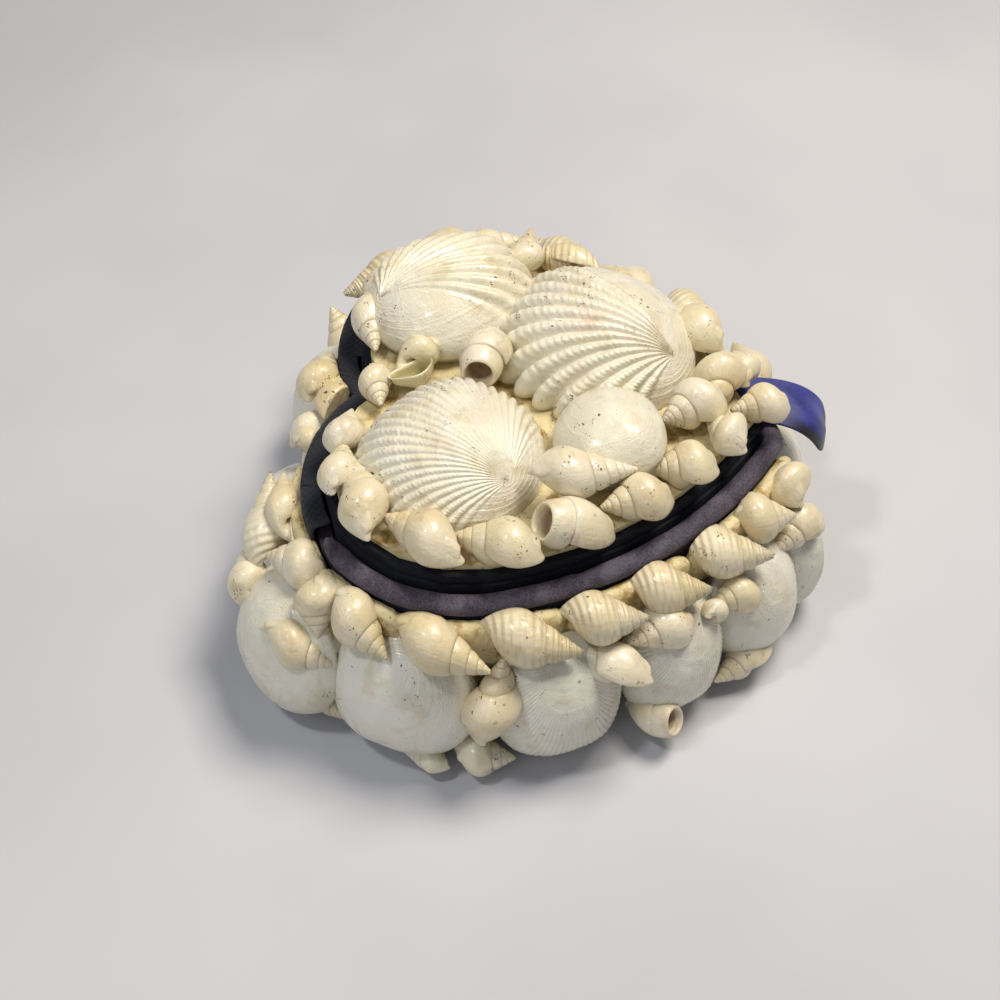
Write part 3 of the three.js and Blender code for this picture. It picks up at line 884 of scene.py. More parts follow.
@dataclass(frozen=True)
class WovenFinish:
    """Woven cloth laid out on the piece's own map in metres: hinge cloth or satin ribbon.

    The tone of its points darkens it to a painted shade colour: painted shade in folds and under edges,
    standing in for the shade that falls there.
    """

    name: str
    deep: str
    light: str
    threads: float
    roughness: float
    sheen: float
    relief: float
    # colour of the painted shade in folds and under edges
    painted_shade: str = "05070f"
    weave_share: float = 0.35
    fibre_scale: float = 1500.0
    roughness_spread: float = 0.12

    def build(self, effects: Effects) -> bpy.types.Material:
        """Builds the material.

        Args:
            effects: the shared node groups.

        Returns:
            The material.
        """
        material, sheet, shader = start_material(self.name)
        weave = sheet.placed(effects.weave, {"Vector": sheet.flat(), "Threads": self.threads})
        pile = sheet.placed(effects.pile, {"Vector": sheet.place(), "Per Metre": self.fibre_scale})
        shade = sheet.calc(
            "ADD", sheet.calc("MULTIPLY", weave.outputs["Height"], self.weave_share),
            sheet.calc("MULTIPLY", pile.outputs["Shade"], 1 - self.weave_share), clamp=True)
        colour = sheet.blend(shade, linear(self.deep), linear(self.light))
        # painted shade: the tone of the points darkens the cloth towards the painted shade colour
        sheet.put(shader.inputs["Base Color"], sheet.blend(sheet.tone(), colour, linear(self.painted_shade)))
        sheet.put(shader.inputs["Roughness"], sheet.remap(
            pile.outputs["Shade"], 0.0, 1.0, self.roughness, self.roughness + self.roughness_spread))
        shader.inputs["Sheen Weight"].default_value = self.sheen
        sheet.bump(shader, weave.outputs["Height"], self.relief, 0.7)
        return material


@dataclass(frozen=True)
class FloorFinish:
    """Plain pale floor."""

    name: str = "pale_floor"
    colour: str = "bcbdc2"
    lighter: str = "c6c7cb"
    cloud_scale: float = 9.0
    roughness: float = 0.8

    def build(self) -> bpy.types.Material:
        """Builds the material.

        Returns:
            The material.
        """
        material, sheet, shader = start_material(self.name)
        shade = sheet.remap(sheet.noise(sheet.place(), self.cloud_scale), 0.3, 0.7)
        sheet.put(shader.inputs["Base Color"], sheet.blend(shade, linear(self.colour), linear(self.lighter)))
        shader.inputs["Roughness"].default_value = self.roughness
        return material


class Wardrobe:
    """Every finish of the box, built once."""

    def __init__(self) -> None:
        """Builds the effects and the materials."""
        effects = Effects()
        self.whelk = ShellFinish("whelk_shell", "e9e1ca", "d6c496", "9c7f48").build(effects)
        self.ribbed_whelk = ShellFinish(
            "whelk_shell_lined", "e7dfc4", "d6c497", "9a7f4c",
            growth_lines=14.0, spiral_lines=16.0, spiral_depth=0.2).build(effects)
        self.stained_whelk = ShellFinish(
            "whelk_shell_stained", "e2dabc", "cfc084", "8c7b2e", seam_width=0.16, seam_share=0.6,
            speck_share=0.35, stain_share=0.85).build(effects)
        # Its seam colour also colours the inside of the broken end's hole, dark brown towards the bottom.
        self.broken_whelk = ShellFinish(
            "whelk_shell_broken", "e9e1ca", "d6c496", "7a5626", seam_width=0.07,
            seam_share=0.95).build(effects)
        self.valve = ShellFinish(
            "valve_shell", "e9e7da", "dcd5bb", "b8a56e", growth_lines=18.0, growth_depth=0.45,
            seam_width=0.0001, seam_share=0.0, speck_share=0.09, grain=0.25, varnish=0.8).build(effects)
        self.ribbed_valve = ShellFinish(
            "valve_shell_ribbed", "e8e5d6", "dbd1ae", "b39c62", growth_lines=26.0, growth_depth=0.4,
            seam_width=0.0001, seam_share=0.0, speck_share=0.16, pink_share=0.42, grain=0.3,
            varnish=0.9).build(effects)
        self.glue = GlueFinish().build(effects)
        self.plum = VelvetFinish(
            "plum_velvet", "332d37", "69606f", sheen=0.22, sheen_tint="7d7287").build(effects)
        self.board = VelvetFinish("velvet_board", "2c2630", "4a4150", sheen=0.2).build(effects)
        self.navy = VelvetFinish(
            "navy_velvet", "08090e", "141722", sheen=0.08, sheen_tint="3a4060").build(effects)
        self.hinge = WovenFinish(
            "hinge_fabric", "0e1018", "232732", threads=1500.0, roughness=0.85, sheen=0.08,
            relief=0.0002).build(effects)
        self.satin = WovenFinish(
            "blue_satin", "141a58", "3a3f9c", threads=5200.0, roughness=0.34, sheen=0.15,
            relief=0.00005).build(effects)
        self.floor = FloorFinish().build()


def dress(piece: bpy.types.Object, material: bpy.types.Material, body: str,
          replaces: tuple[str, ...] = ()) -> bpy.types.Object:
    """Gives a new piece its finish, its body and the node it stands for.

    Args:
        piece: the finished mesh object.
        material: its finish.
        body: the CAD body it rides on.
        replaces: the CAD nodes that it stands for.

    Returns:
        The piece.
    """
    piece.data.materials.clear()
    piece.data.materials.append(material)
    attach(piece, body)
    if replaces:
        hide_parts(*replaces)
    LOG.info("%s rides on %s, %d faces", piece.name, body, len(piece.data.polygons))
    return piece


class WhelkKind(Enum):
    """The kinds of small whelk on the box."""

    PLAIN = "plain"
    RIBBED = "ribbed"
    STOUT = "stout"
    SPINDLE = "spindle"
    BROKEN = "broken"
    STAINED = "stained"


@dataclass(frozen=True)
class WhelkPattern:
    """One kind of whelk: its mouth outline, and how it grows round its axis.

    The outline is in shares of the shell's length: how far from the apex, and how far from the axis. It runs
    from the seam over the outer wall to the end of the canal, and back along the axis.
    """

    kind: WhelkKind
    outline: tuple[tuple[float, float], ...]
    growth: float
    turns: float
    steps: int
    rib: float = 0.0
    outline_points: int = 22
    mouth_steps: int = 4

    def lip(self) -> np.ndarray:
        """Draws the outline as evenly spaced points on a smooth closed curve."""
        corners = np.array(self.outline)
        count = len(corners)
        fine = []
        for i in range(count):
            before, start, end, after = (corners[(i + k) % count] for k in (-1, 0, 1, 2))
            for t in np.linspace(0, 1, 12, endpoint=False):
                fine.append(0.5 * (2 * start + (end - before) * t
                                   + (2 * before - 5 * start + 4 * end - after) * t ** 2
                                   + (3 * start - before - 3 * end + after) * t ** 3))
        fine = np.array(fine + [fine[0]])
        run = np.concatenate([[0], np.cumsum(np.hypot(*np.diff(fine, axis=0).T))])
        wanted = np.linspace(0, run[-1], self.outline_points, endpoint=False)
        return np.column_stack([np.interp(wanted, run, fine[:, 0]), np.interp(wanted, run, fine[:, 1])])

    def model(self) -> bpy.types.Object:
        """Models the shell: its mouth outline extruded, turned and grown round the apex, step by step.

        Returns:
            The shell with its spire along +X and its mouth down, one unit long and one across.
        """
        lip = self.lip()
        total = round(self.turns * self.steps)
        step = 2 * math.pi / self.steps
        grow = self.growth ** (1 / self.steps)
        small = self.growth ** (-total / self.steps)
        start = math.pi / 2 - step * total
        middle = lip.mean(axis=0)
        first = (middle + (lip - middle) * 0.2) * small
        clear_selection()
        bpy.ops.mesh.primitive_circle_add(vertices=len(lip), radius=small, fill_type="NOTHING")
        shell = bpy.context.object
        shell.name = f"pattern_{self.kind.value}"
        places = [(-s, r * math.sin(start), r * math.cos(start)) for s, r in first]
        set_points(shell, np.array(places))
        bpy.ops.object.mode_set(mode="EDIT")
        bpy.ops.mesh.select_all(action="SELECT")
        hub = self.hub(middle, small, start)
        bpy.ops.mesh.extrude_region_move()
        bpy.ops.transform.resize(value=(5, 5, 5), center_override=hub)
        widened = 1.0
        for i in range(total):
            bpy.ops.mesh.extrude_region_move()
            bpy.ops.transform.rotate(value=step, orient_axis="X", center_override=(0, 0, 0))
            wider = 1 + self.rib * (1 if i % 2 else -1) * min(1.0, i / self.steps)
            across = grow * wider / widened
            bpy.ops.transform.resize(value=(grow, across, across), center_override=(0, 0, 0))
            widened = wider
        self.sink_mouth(middle, step, grow)
        bpy.ops.object.mode_set(mode="OBJECT")
        close_and_face(shell)
        lay_out(shell, len(lip), self.steps)
        smoothed(shell, 1)
        if self.kind is WhelkKind.BROKEN:
            self.add_broken_end(shell)
        self.fit(shell)
        return shell

    @staticmethod
    def hub(middle: np.ndarray, scale: float, angle: float) -> tuple[float, float, float]:
        """Middle of the outline once it has been scaled and turned."""
        out = middle[1] * scale
        return (-middle[0] * scale, out * math.sin(angle), out * math.cos(angle))

    def sink_mouth(self, middle: np.ndarray, step: float, grow: float) -> None:
        """Gives the lip its thickness and draws the inside of the mouth back into the shell.

        Args:
            middle: the middle of the outline.
            step: angle of one step of growth.
            grow: scale of one step of growth.
        """
        angle, scale = math.pi / 2, 1.0
        bpy.ops.mesh.extrude_region_move()
        bpy.ops.transform.resize(value=(0.9, 0.84, 0.84), center_override=self.hub(middle, scale, angle))
        for _ in range(self.mouth_steps):
            bpy.ops.mesh.extrude_region_move()
            bpy.ops.transform.rotate(value=-step, orient_axis="X", center_override=(0, 0, 0))
            angle -= step
            scale /= grow
            bpy.ops.transform.resize(value=(0.95, 0.88, 0.88), center_override=self.hub(middle, scale, angle))

    @staticmethod
    def add_broken_end(shell: bpy.types.Object) -> None:
        """Cuts the spire off the shell and closes the break with a thick rim round a deep hole, whose inside
        is coloured dark brown towards the bottom.
        """
        rim = ((0.56, 0.19), (0.53, 0.207), (0.47, 0.2), (0.42, 0.187), (0.385, 0.174), (0.357, 0.16),
               (0.348, 0.143), (0.362, 0.124), (0.43, 0.112), (0.5, 0.1), (0.513, 0.01))
        bpy.ops.object.mode_set(mode="EDIT")
        bpy.ops.mesh.select_all(action="SELECT")
        bpy.ops.mesh.bisect(plane_co=(-0.52, 0, 0), plane_no=(1, 0, 0), use_fill=True, clear_outer=True)
        bpy.ops.object.mode_set(mode="OBJECT")
        clear_selection()
        bpy.ops.mesh.primitive_circle_add(
            vertices=24, radius=rim[0][1], fill_type="NOTHING", location=(-rim[0][0], 0, 0),
            rotation=(0, math.pi / 2, 0))
        bpy.ops.object.transform_apply(location=True, rotation=True, scale=False)
        collar = bpy.context.object
        bpy.ops.object.mode_set(mode="EDIT")
        bpy.ops.mesh.select_all(action="SELECT")
        for (last, wide), (along, out) in zip(rim, rim[1:]):
            bpy.ops.mesh.extrude_region_move(TRANSFORM_OT_translate={"value": (last - along, 0, 0)})
            bpy.ops.transform.resize(value=(1, out / wide, out / wide), center_override=(-along, 0, 0))
        bpy.ops.object.mode_set(mode="OBJECT")
        close_and_face(collar)
        corners = corner_points(collar)
        # The map puts the inside of the hole at the seam, so the seam colour turns it dark brown towards its
        # bottom.
        across = np.interp(corners // 24, (0, 6, 7.5, 10), (0.3, 0.3, 0.03, 0.0))
        write_map(collar, np.column_stack([across, 3.3 + corners % 24 / 60]))
        smoothed(collar, 1)
        collar.select_set(True)
        shell.select_set(True)
        bpy.context.view_layer.objects.active = shell
        bpy.ops.object.join()

    @staticmethod
    def fit(shell: bpy.types.Object) -> None:
        """Centres the shell and makes it one unit long and one unit across."""
        places = points_of(shell)
        low, high = places.min(axis=0), places.max(axis=0)
        places = (places - (low + high) / 2) / (high - low)
        set_points(shell, places)


PLAIN_OUTLINE = (
    (0.4, 0.168), (0.425, 0.188), (0.47, 0.213), (0.54, 0.243), (0.61, 0.265), (0.68, 0.272), (0.76, 0.262),
    (0.84, 0.232), (0.91, 0.187), (0.965, 0.14), (0.995, 0.09), (0.98, 0.04), (0.89, 0.02), (0.76, 0.022),
    (0.62, 0.03), (0.51, 0.05), (0.435, 0.09))
STOUT_OUTLINE = (
    (0.35, 0.165), (0.375, 0.192), (0.42, 0.222), (0.48, 0.256), (0.55, 0.287), (0.62, 0.303), (0.7, 0.298),
    (0.79, 0.264), (0.87, 0.212), (0.94, 0.156), (0.99, 0.1), (0.975, 0.04), (0.87, 0.02), (0.71, 0.025),
    (0.54, 0.035), (0.43, 0.06), (0.38, 0.1))
SPINDLE_OUTLINE = (
    (0.465, 0.156), (0.49, 0.172), (0.53, 0.191), (0.59, 0.213), (0.65, 0.227), (0.71, 0.225), (0.79, 0.2),
    (0.87, 0.156), (0.94, 0.105), (0.995, 0.06), (0.985, 0.027), (0.87, 0.016), (0.74, 0.02), (0.61, 0.03),
    (0.53, 0.055), (0.49, 0.09))
WHELK_PATTERNS = (
    WhelkPattern(WhelkKind.PLAIN, PLAIN_OUTLINE, 1.55, 5.8, 14),
    WhelkPattern(WhelkKind.RIBBED, PLAIN_OUTLINE, 1.55, 5.2, 38, rib=0.009, outline_points=18),
    WhelkPattern(WhelkKind.STOUT, STOUT_OUTLINE, 1.75, 4.6, 16),
    WhelkPattern(WhelkKind.SPINDLE, SPINDLE_OUTLINE, 1.42, 7.4, 14, outline_points=20),
    WhelkPattern(WhelkKind.BROKEN, PLAIN_OUTLINE, 1.55, 4.0, 14),
    WhelkPattern(WhelkKind.STAINED, STOUT_OUTLINE, 1.9, 3.6, 16),
)


@dataclass(frozen=True)
class WhelkPlace:
    """Where a whelk lies by the outline, in millimetres and degrees, as in the CAD model."""

    name: str
    share: float
    out: float
    height: float
    spire: float
    lean: float
    long: float
    girth: float
    kind: WhelkKind = WhelkKind.PLAIN
    roll: float = 0.0
    nodes: tuple[str, ...] = ()

    def matrix(self) -> Matrix:
        """Returns the place as a matrix for a shell one unit long and one across."""
        point, along, _ = HEART.frame(self.share, self.out * MM)
        heading = math.atan2(along.y, along.x) - math.radians(self.spire)
        return (Matrix.Translation((point.x, point.y, self.height * MM))
                @ Matrix.Rotation(heading, 4, "Z")
                @ Matrix.Rotation(-math.radians(self.lean), 4, "Y")
                @ Matrix.Diagonal((self.long * MM, self.girth * MM, self.girth * MM, 1))
                @ Matrix.Rotation(math.radians(self.roll), 4, "X"))


class Shells:
    """Makes the whelks from their patterns and puts them in place."""

    def __init__(self, wardrobe: Wardrobe) -> None:
        """Models the patterns once.

        Args:
            wardrobe: the finishes.
        """
        self.wardrobe = wardrobe
        self.random = np.random.default_rng(17)
        self.patterns = {pattern.kind: pattern.model() for pattern in WHELK_PATTERNS}

    def finish_for(self, kind: WhelkKind) -> bpy.types.Material:
        """Returns the finish of a kind of whelk."""
        special = {
            WhelkKind.RIBBED: self.wardrobe.ribbed_whelk, WhelkKind.STAINED: self.wardrobe.stained_whelk,
            WhelkKind.BROKEN: self.wardrobe.broken_whelk}
        return special.get(kind, self.wardrobe.whelk)

    def whelk(self, row: WhelkPlace, body: str, lowest: float | None = None,
              least_out: float | None = None) -> bpy.types.Object:
        """Makes one whelk.

        Args:
            row: its place.
            body: the CAD body it rides on.
            lowest: height that none of it goes below, because it is sunk in the glue there.
            least_out: distance outside the outline that none of it comes inside.

        Returns:
            The finished piece.
        """
        piece = copied(self.patterns[row.kind], row.name, row.matrix())
        self.press(piece, lowest, least_out)
        set_tone(piece, float(self.random.uniform(0.0, 1.0)))
        return dress(piece, self.finish_for(row.kind), body, row.nodes)

    @staticmethod
    def press(piece: bpy.types.Object, lowest: float | None, least_out: float | None) -> None:
        """Keeps a piece above a height and outside a distance from the outline."""
        places = points_of(piece)
        if lowest is not None:
            places[:, 2] = np.maximum(places[:, 2], lowest)
        if least_out is not None:
            places = HEART.keep_outside(places, least_out)
        set_points(piece, places)

    def put_patterns_away(self) -> None:
        """Removes the patterns once everything is copied."""
        for pattern in self.patterns.values():
            bpy.data.objects.remove(pattern, do_unlink=True)


@dataclass(frozen=True)
class ValveForm:
    """Half of a clam, ark or cockle, in millimetres: domed to +Z, with its beak towards +Y."""

    wide: float
    tall: float
    dome: float
    ribs: int = 0
    rib_height: float = 0.0
    rib_start: float = 0.0
    rib_end: float = 1.0
    beads: int = 0
    bead_height: float = 0.0
    steps: int = 7
    step_height: float = 0.06
    scallop: float = 0.0
    points: int = 96
    loops: int = 36
    beak: float = 0.8
    broad: float = 2.5
    fall: float = 0.6
    skirt: float = 9.0

    def ratio(self, x: np.ndarray, y: np.ndarray) -> np.ndarray:
        """How near each point is to the margin: 0 in the middle, 1 at the margin."""
        ease = np.clip(-y / (0.35 * self.tall), 0, 1)
        power = 2.0 + (self.broad - 2.0) * ease * ease * (3 - 2 * ease)
        return np.abs(x / (self.wide / 2)) ** power + np.abs(y / (self.tall / 2)) ** power

    def margin(self) -> np.ndarray:
        """Points of the margin, evenly spaced along it, starting and ending at the beak's side."""
        angle = np.linspace(math.pi / 2, math.pi / 2 + 2 * math.pi, 2001)
        ray = np.column_stack([np.cos(angle), np.sin(angle)])
        far = np.ones(len(ray)) * max(self.wide, self.tall)
        near = np.zeros(len(ray))
        for _ in range(30):
            middle = (near + far) / 2
            inside = self.ratio(ray[:, 0] * middle, ray[:, 1] * middle) < 1
            near = np.where(inside, middle, near)
            far = np.where(inside, far, middle)
        edge = ray * near[:, None]
        run = np.concatenate([[0], np.cumsum(np.hypot(*np.diff(edge, axis=0).T))])
        wanted = np.linspace(0, run[-1], self.points, endpoint=False)
        return np.column_stack([np.interp(wanted, run, edge[:, 0]), np.interp(wanted, run, edge[:, 1])])

    def ribs_at(self, share: np.ndarray) -> np.ndarray:
        """Height of the ribs round the margin, from 0 between them to 1 on them."""
        if not self.ribs:
            return np.zeros_like(share)
        wave = 0.5 + 0.5 * np.cos(2 * math.pi * self.ribs * share)
        fade = np.clip((share - self.rib_start) / 0.08, 0, 1) * np.clip((self.rib_end - share) / 0.08, 0, 1)
        return wave ** 0.8 * fade * fade * (3 - 2 * fade)

    def surface(self, seed: float) -> np.ndarray:
        """The loops of the skin: dome with its ribs and beads, then the edge and the glue-filled back.

        Args:
            seed: which set of small unevennesses the shell has.

        Returns:
            An array of loops by points by three, in millimetres.
        """
        margin = self.margin()
        share = np.arange(self.points) / self.points
        ribs = self.ribs_at(share)
        beak = np.array([0.0, self.beak * self.tall / 2])
        depth = np.linspace(0, 1, self.loops) ** 0.85
        depth[0] = 0.012
        edge = beak + (margin - beak) * (1 + self.scallop * (ribs - 0.5))[:, None]
        plan = beak + (edge[None] - beak) * depth[:, None, None]
        flat = beak + (margin[None] - beak) * depth[:, None, None]
        inside = np.maximum(1 - self.ratio(flat[..., 0], flat[..., 1]), 0)
        height = self.dome * inside ** self.fall
        skin = np.dstack([plan, height])
        along = np.gradient(skin, axis=0)
        across = np.roll(skin, -1, axis=1) - np.roll(skin, 1, axis=1)
        normal = np.cross(along, across)
        normal /= np.maximum(np.linalg.norm(normal, axis=2, keepdims=True), 1e-9)
        normal *= np.where(normal[..., 2:3] < 0, -1, 1)
        row = depth[:, None]
        relief = self.rib_height * ribs[None] * row ** 0.6
        if self.beads:
            bead = 0.5 + 0.5 * np.cos(2 * math.pi * self.beads * row)
            relief = relief + self.bead_height * bead * ribs[None] * np.clip(row * 4, 0, 1)
        terrace = (row * self.steps + 0.15 * np.sin(7 * share + seed)[None]) % 1.0
        relief = relief + self.step_height * (1 - terrace) ** 2
        relief = relief + 0.12 * lumps(skin, 9.0, seed)
        skin = skin + normal * relief[..., None]
        skin[-1, :, 2] = np.maximum(skin[-1, :, 2], 0.1)
        under = skin[-1].copy()
        under[:, 2] = -0.7
        tucked = np.column_stack([edge * 0.94, np.full(self.points, -0.9)])
        back = np.column_stack([edge * 0.9, np.full(self.points, -self.skirt)])
        return np.concatenate([skin, [under, tucked, back]])

    def model(self, name: str, place: Matrix, seed: float) -> bpy.types.Object:
        """Models the valve in its place.

        Args:
            name: the name of the piece.
            place: where it goes, in metres.
            seed: which set of small unevennesses it has.

        Returns:
            The piece.
        """
        skin = self.surface(seed) * MM
        rows = np.concatenate([skin.reshape(-1, 3), np.ones((skin.shape[0] * skin.shape[1], 1))], axis=1)
        placed = rows @ np.array(place).T
        piece = drawn_loops(name, placed[:, :3].reshape(skin.shape))
        lay_out(piece, self.points, self.loops)
        return piece


P, R, S, N, B = (WhelkKind.PLAIN, WhelkKind.RIBBED, WhelkKind.STOUT, WhelkKind.SPINDLE, WhelkKind.BROKEN)


@dataclass
class Lid:
    """The lid: velvet board, glue, four large valves, the whelks round them, and the ribbon pull."""

    wardrobe: Wardrobe
    shells: Shells
    stand: float = 36.2
    lowest: float = 35.0
    board_inset: float = 2.5
    pull_width: float = 10.2
    pull_thick: float = 0.5
    pull_side: float = 7.0
    pull_height: float = 33.55
    pull_bend: float = 2.0
    pull_reach: float = 10.8
    pull_crest: float = 0.6
    pull_drop: float = 5.6
    pull_fold: float = 2.2
    pull_columns: int = 25
    pull_rows: int = 53
    pull_straight: int = 12
    valve_forms: dict[str, tuple[ValveForm, tuple[float, float, float], float, float, float]] = field(
        default_factory=lambda: {
            "ark_front": (
                ValveForm(30, 28, 9.8, ribs=42, rib_height=0.32, rib_start=0.14, rib_end=0.92, beads=30,
                          bead_height=0.14, scallop=0.025, points=304, loops=84),
                (-16.5, 13.47, 0.4), -125, -3, 0),
            "cockle_large": (
                ValveForm(32, 32, 10.8, ribs=26, rib_height=1.0, rib_start=0.38, rib_end=0.93, beads=24,
                          bead_height=0.2, scallop=0.05, points=260, loops=84),
                (12.0, -7.11, 0.8), -113, -3, 0),
            "ark_back": (
                ValveForm(27, 29, 8.8, ribs=24, rib_height=0.8, rib_start=0.32, rib_end=0.92, beads=0,
                          scallop=0.05, points=240, loops=70),
                (18.0, 20.33, 2.4), 118, 0, 0),
            "clam_round": (
                ValveForm(18, 18.5, 6.4, steps=5, step_height=0.04, points=96, loops=40),
                (-10.5, -10.05, 3.6), 20, 0, -14),
        })
    top_whelks: tuple[WhelkPlace, ...] = (
        WhelkPlace("shell_spindle_top", 0.34, -10.8, 7, 20, 0, 17, 8.6, N, 30, ("spindle_top",)),
        WhelkPlace("shell_glossy_centre", 0.996, -21.5, 6.4, 7, 5, 11, 8.4, B, 0, ("glossy_centre",)),
        WhelkPlace("shell_broken_centre", 0.996, -10, 3.6, -130, 0, 12.5, 8, WhelkKind.STAINED, 165,
                   ("broken_centre",)),
    )
    ring: tuple[tuple[float, float, float, float, float, float, float, WhelkKind, float], ...] = (
        (0.01, -5, 2.6, -37, 0, 9, 6, P, 0), (0.06, -5.2, 2.6, 175, 0, 10, 6.5, P, 0),
        (0.1, -4.8, 2.6, 192, 0, 11.5, 6.5, P, 0), (0.139, -6, 3, -162, 0, 17.5, 8.4, N, 0),
        (0.208, -5.8, 3.1, -167, 0, 15.5, 9, S, 0), (0.266, -4.8, 3.1, -156, 0, 14.8, 8.8, P, 10),
        (0.322, -4.2, 3.1, -174, 28, 12.8, 8.8, B, 0), (0.368, -4.6, 3, -165, 0, 11.6, 8.4, P, -10),
        (0.414, -5.2, 3, -140, 0, 10.8, 8.4, P, 10), (0.459, -4.6, 2.8, -84, 0, 9, 8, S, 0),
        (0.461, -11.6, 4.2, -162, 0, 11.5, 9, P, 0), (0.503, -3, 2.6, -108, 0, 9.8, 7.4, P, -10),
        (0.537, -7, 3.4, -150, 0, 12.6, 9.2, S, 0), (0.545, -2, 2.6, 6, 0, 8.6, 6.4, P, 0),
        (0.597, -4, 3, -15, 0, 15, 8.6, P, 0), (0.66, -5.4, 2.2, 170, 0, 15, 6.4, N, 0),
        (0.722, -5.4, 2.2, -12, 0, 15, 6.2, R, 40), (0.747, -10, 5, 77, 24, 10, 7, P, 0),
        (0.783, -5.4, 2.2, 168, 0, 14.6, 6.2, N, 10), (0.838, -5, 2.2, -14, 0, 12, 6.2, P, -30),
        (0.9, -4.6, 2.8, 165, 0, 13, 7.6, R, 20), (0.953, -4.6, 2.8, -8, 0, 14, 7, P, 0),
    )

    def build(self, frame: dict[str, object]) -> None:
        """Builds the lid's pieces.
        """
        frame["nodes"]["lid_board"].data.materials.clear()
        frame["nodes"]["lid_board"].data.materials.append(self.wardrobe.navy)
        frame["nodes"]["lid_glue"].data.materials.clear()
        frame["nodes"]["lid_glue"].data.materials.append(self.wardrobe.glue)
        self.build_valves()
        self.build_whelks()
        self.build_pull()

    def build_valves(self) -> None:
        """Models the four large valves and dresses them."""
        for seed, (name, (form, place, beak, tip, bank)) in enumerate(self.valve_forms.items()):
            x, y, up = place
            matrix = (Matrix.Translation((x * MM, y * MM, (self.stand + up) * MM))
                      @ Matrix.Rotation(math.radians(beak - 90), 4, "Z")
                      @ Matrix.Rotation(math.radians(bank), 4, "Y")
                      @ Matrix.Rotation(math.radians(tip), 4, "X"))
            piece = form.model(f"shell_{name}", matrix, 1.3 + seed)
            Shells.press(piece, self.lowest * MM, None)
            set_tone(piece, 0.2 + 0.15 * seed)
            material = self.wardrobe.ribbed_valve if form.ribs else self.wardrobe.valve
            dress(piece, material, "lid", (name,))

    def build_whelks(self) -> None:
        """Lays the whelks on the lid."""
        rows = list(self.top_whelks)
        for i, (share, out, height, spire, lean, long, girth, kind, roll) in enumerate(self.ring, start=1):
            rows.append(WhelkPlace(
                f"shell_lid_{i:02d}", share, out, height, spire, lean, long, girth, kind, roll,
                (f"lid_whelk_{i:02d}",)))
        for row in rows:
            raised = WhelkPlace(row.name, row.share, row.out, row.height + self.stand, row.spire, row.lean,
                                row.long, row.girth, row.kind, row.roll, row.nodes)
            self.shells.whelk(raised, "lid", lowest=self.lowest * MM)

    def board_edge(self, x: np.ndarray) -> np.ndarray:
        """How far back the edge of the board lies near the tip, at each x, in millimetres."""
        centre = HEART.side_centre / MM
        radius = HEART.side_radius / MM - self.board_inset
        return centre.y + HEART.lobe_line / MM - np.sqrt(radius ** 2 - (x - centre.x) ** 2)

    def pull_line(self, share: np.ndarray) -> tuple[np.ndarray, np.ndarray]:
        """How far out and up the bent part of the ribbon is at each share of it, in millimetres."""
        bend = 2 * share * (1 - share)
        out = (0.75 * bend + share ** 2) * self.pull_reach
        return out, bend * self.pull_crest - share ** 2 * self.pull_drop

    def build_pull(self) -> None:
        """Models the satin ribbon: flat out from the board's edge, then over and down, one edge folded."""
        clear_selection()
        bpy.ops.mesh.primitive_grid_add(
            x_subdivisions=self.pull_columns - 1, y_subdivisions=self.pull_rows - 1, size=2)
        ribbon = bpy.context.object
        ribbon.name = "satin_pull"
        grid = points_of(ribbon)
        across, row = grid[:, 0], (grid[:, 1] + 1) / 2 * (self.pull_rows - 1)
        before = np.clip(1 - row / self.pull_straight, 0, 1)
        along = np.clip((row - self.pull_straight) / (self.pull_rows - 1 - self.pull_straight), 0, 1)
        rounded = np.sqrt(np.maximum(1 - np.clip(along * 5 - 4, 0, 1) ** 2, 0.04))
        half = self.pull_width / 2 * (0.35 + 0.65 * rounded)
        flat_x = across * half
        tail = before * (self.board_edge(self.pull_side + flat_x) - HEART.point(0.5).y / MM - self.pull_bend)
        fine = np.linspace(0, 1, 200)
        fine_out, fine_up = self.pull_line(fine)
        run = np.concatenate([[0], np.cumsum(np.hypot(np.diff(fine_out), np.diff(fine_up)))])
        flat_y = np.interp(along, fine, run) - tail
        near = np.clip(-across, 0, 1)
        fold = self.pull_fold * along
        drawn_in = fold ** 2 / self.pull_width * 4 / 3 * near ** 3
        wave = 0.25 * along * np.sin(across * 4.5 + along * 3)
        out, up = self.pull_line(along)
        set_points(ribbon, MM * np.column_stack([
            self.pull_side + flat_x + drawn_in,
            HEART.point(0.5).y / MM + self.pull_bend + tail - out,
            self.pull_height + up + wave - fold * near ** 2 - 0.4 * along * np.clip(across, 0, 1) ** 2]))
        # Painted shade: the near edge, where it folds down, and the end of the ribbon are toned dark.
        set_tone(ribbon, np.maximum(np.clip(near * 3.4 - 1.6, 0, 1) * np.clip(along * 2, 0, 1),
                                    np.clip(along * 6 - 5, 0, 1)))
        flat = np.column_stack([flat_x, flat_y]) * MM
        write_map(ribbon, flat[corner_points(ribbon)])
        thick = ribbon.modifiers.new("thickness", "SOLIDIFY")
        thick.thickness = self.pull_thick * MM
        thick.offset = 0
        bpy.ops.object.modifier_apply(modifier=thick.name)
        smoothed(ribbon, 1)
        bpy.ops.object.shade_smooth()
        dress(ribbon, self.wardrobe.satin, "lid", ("ribbon_pull",))


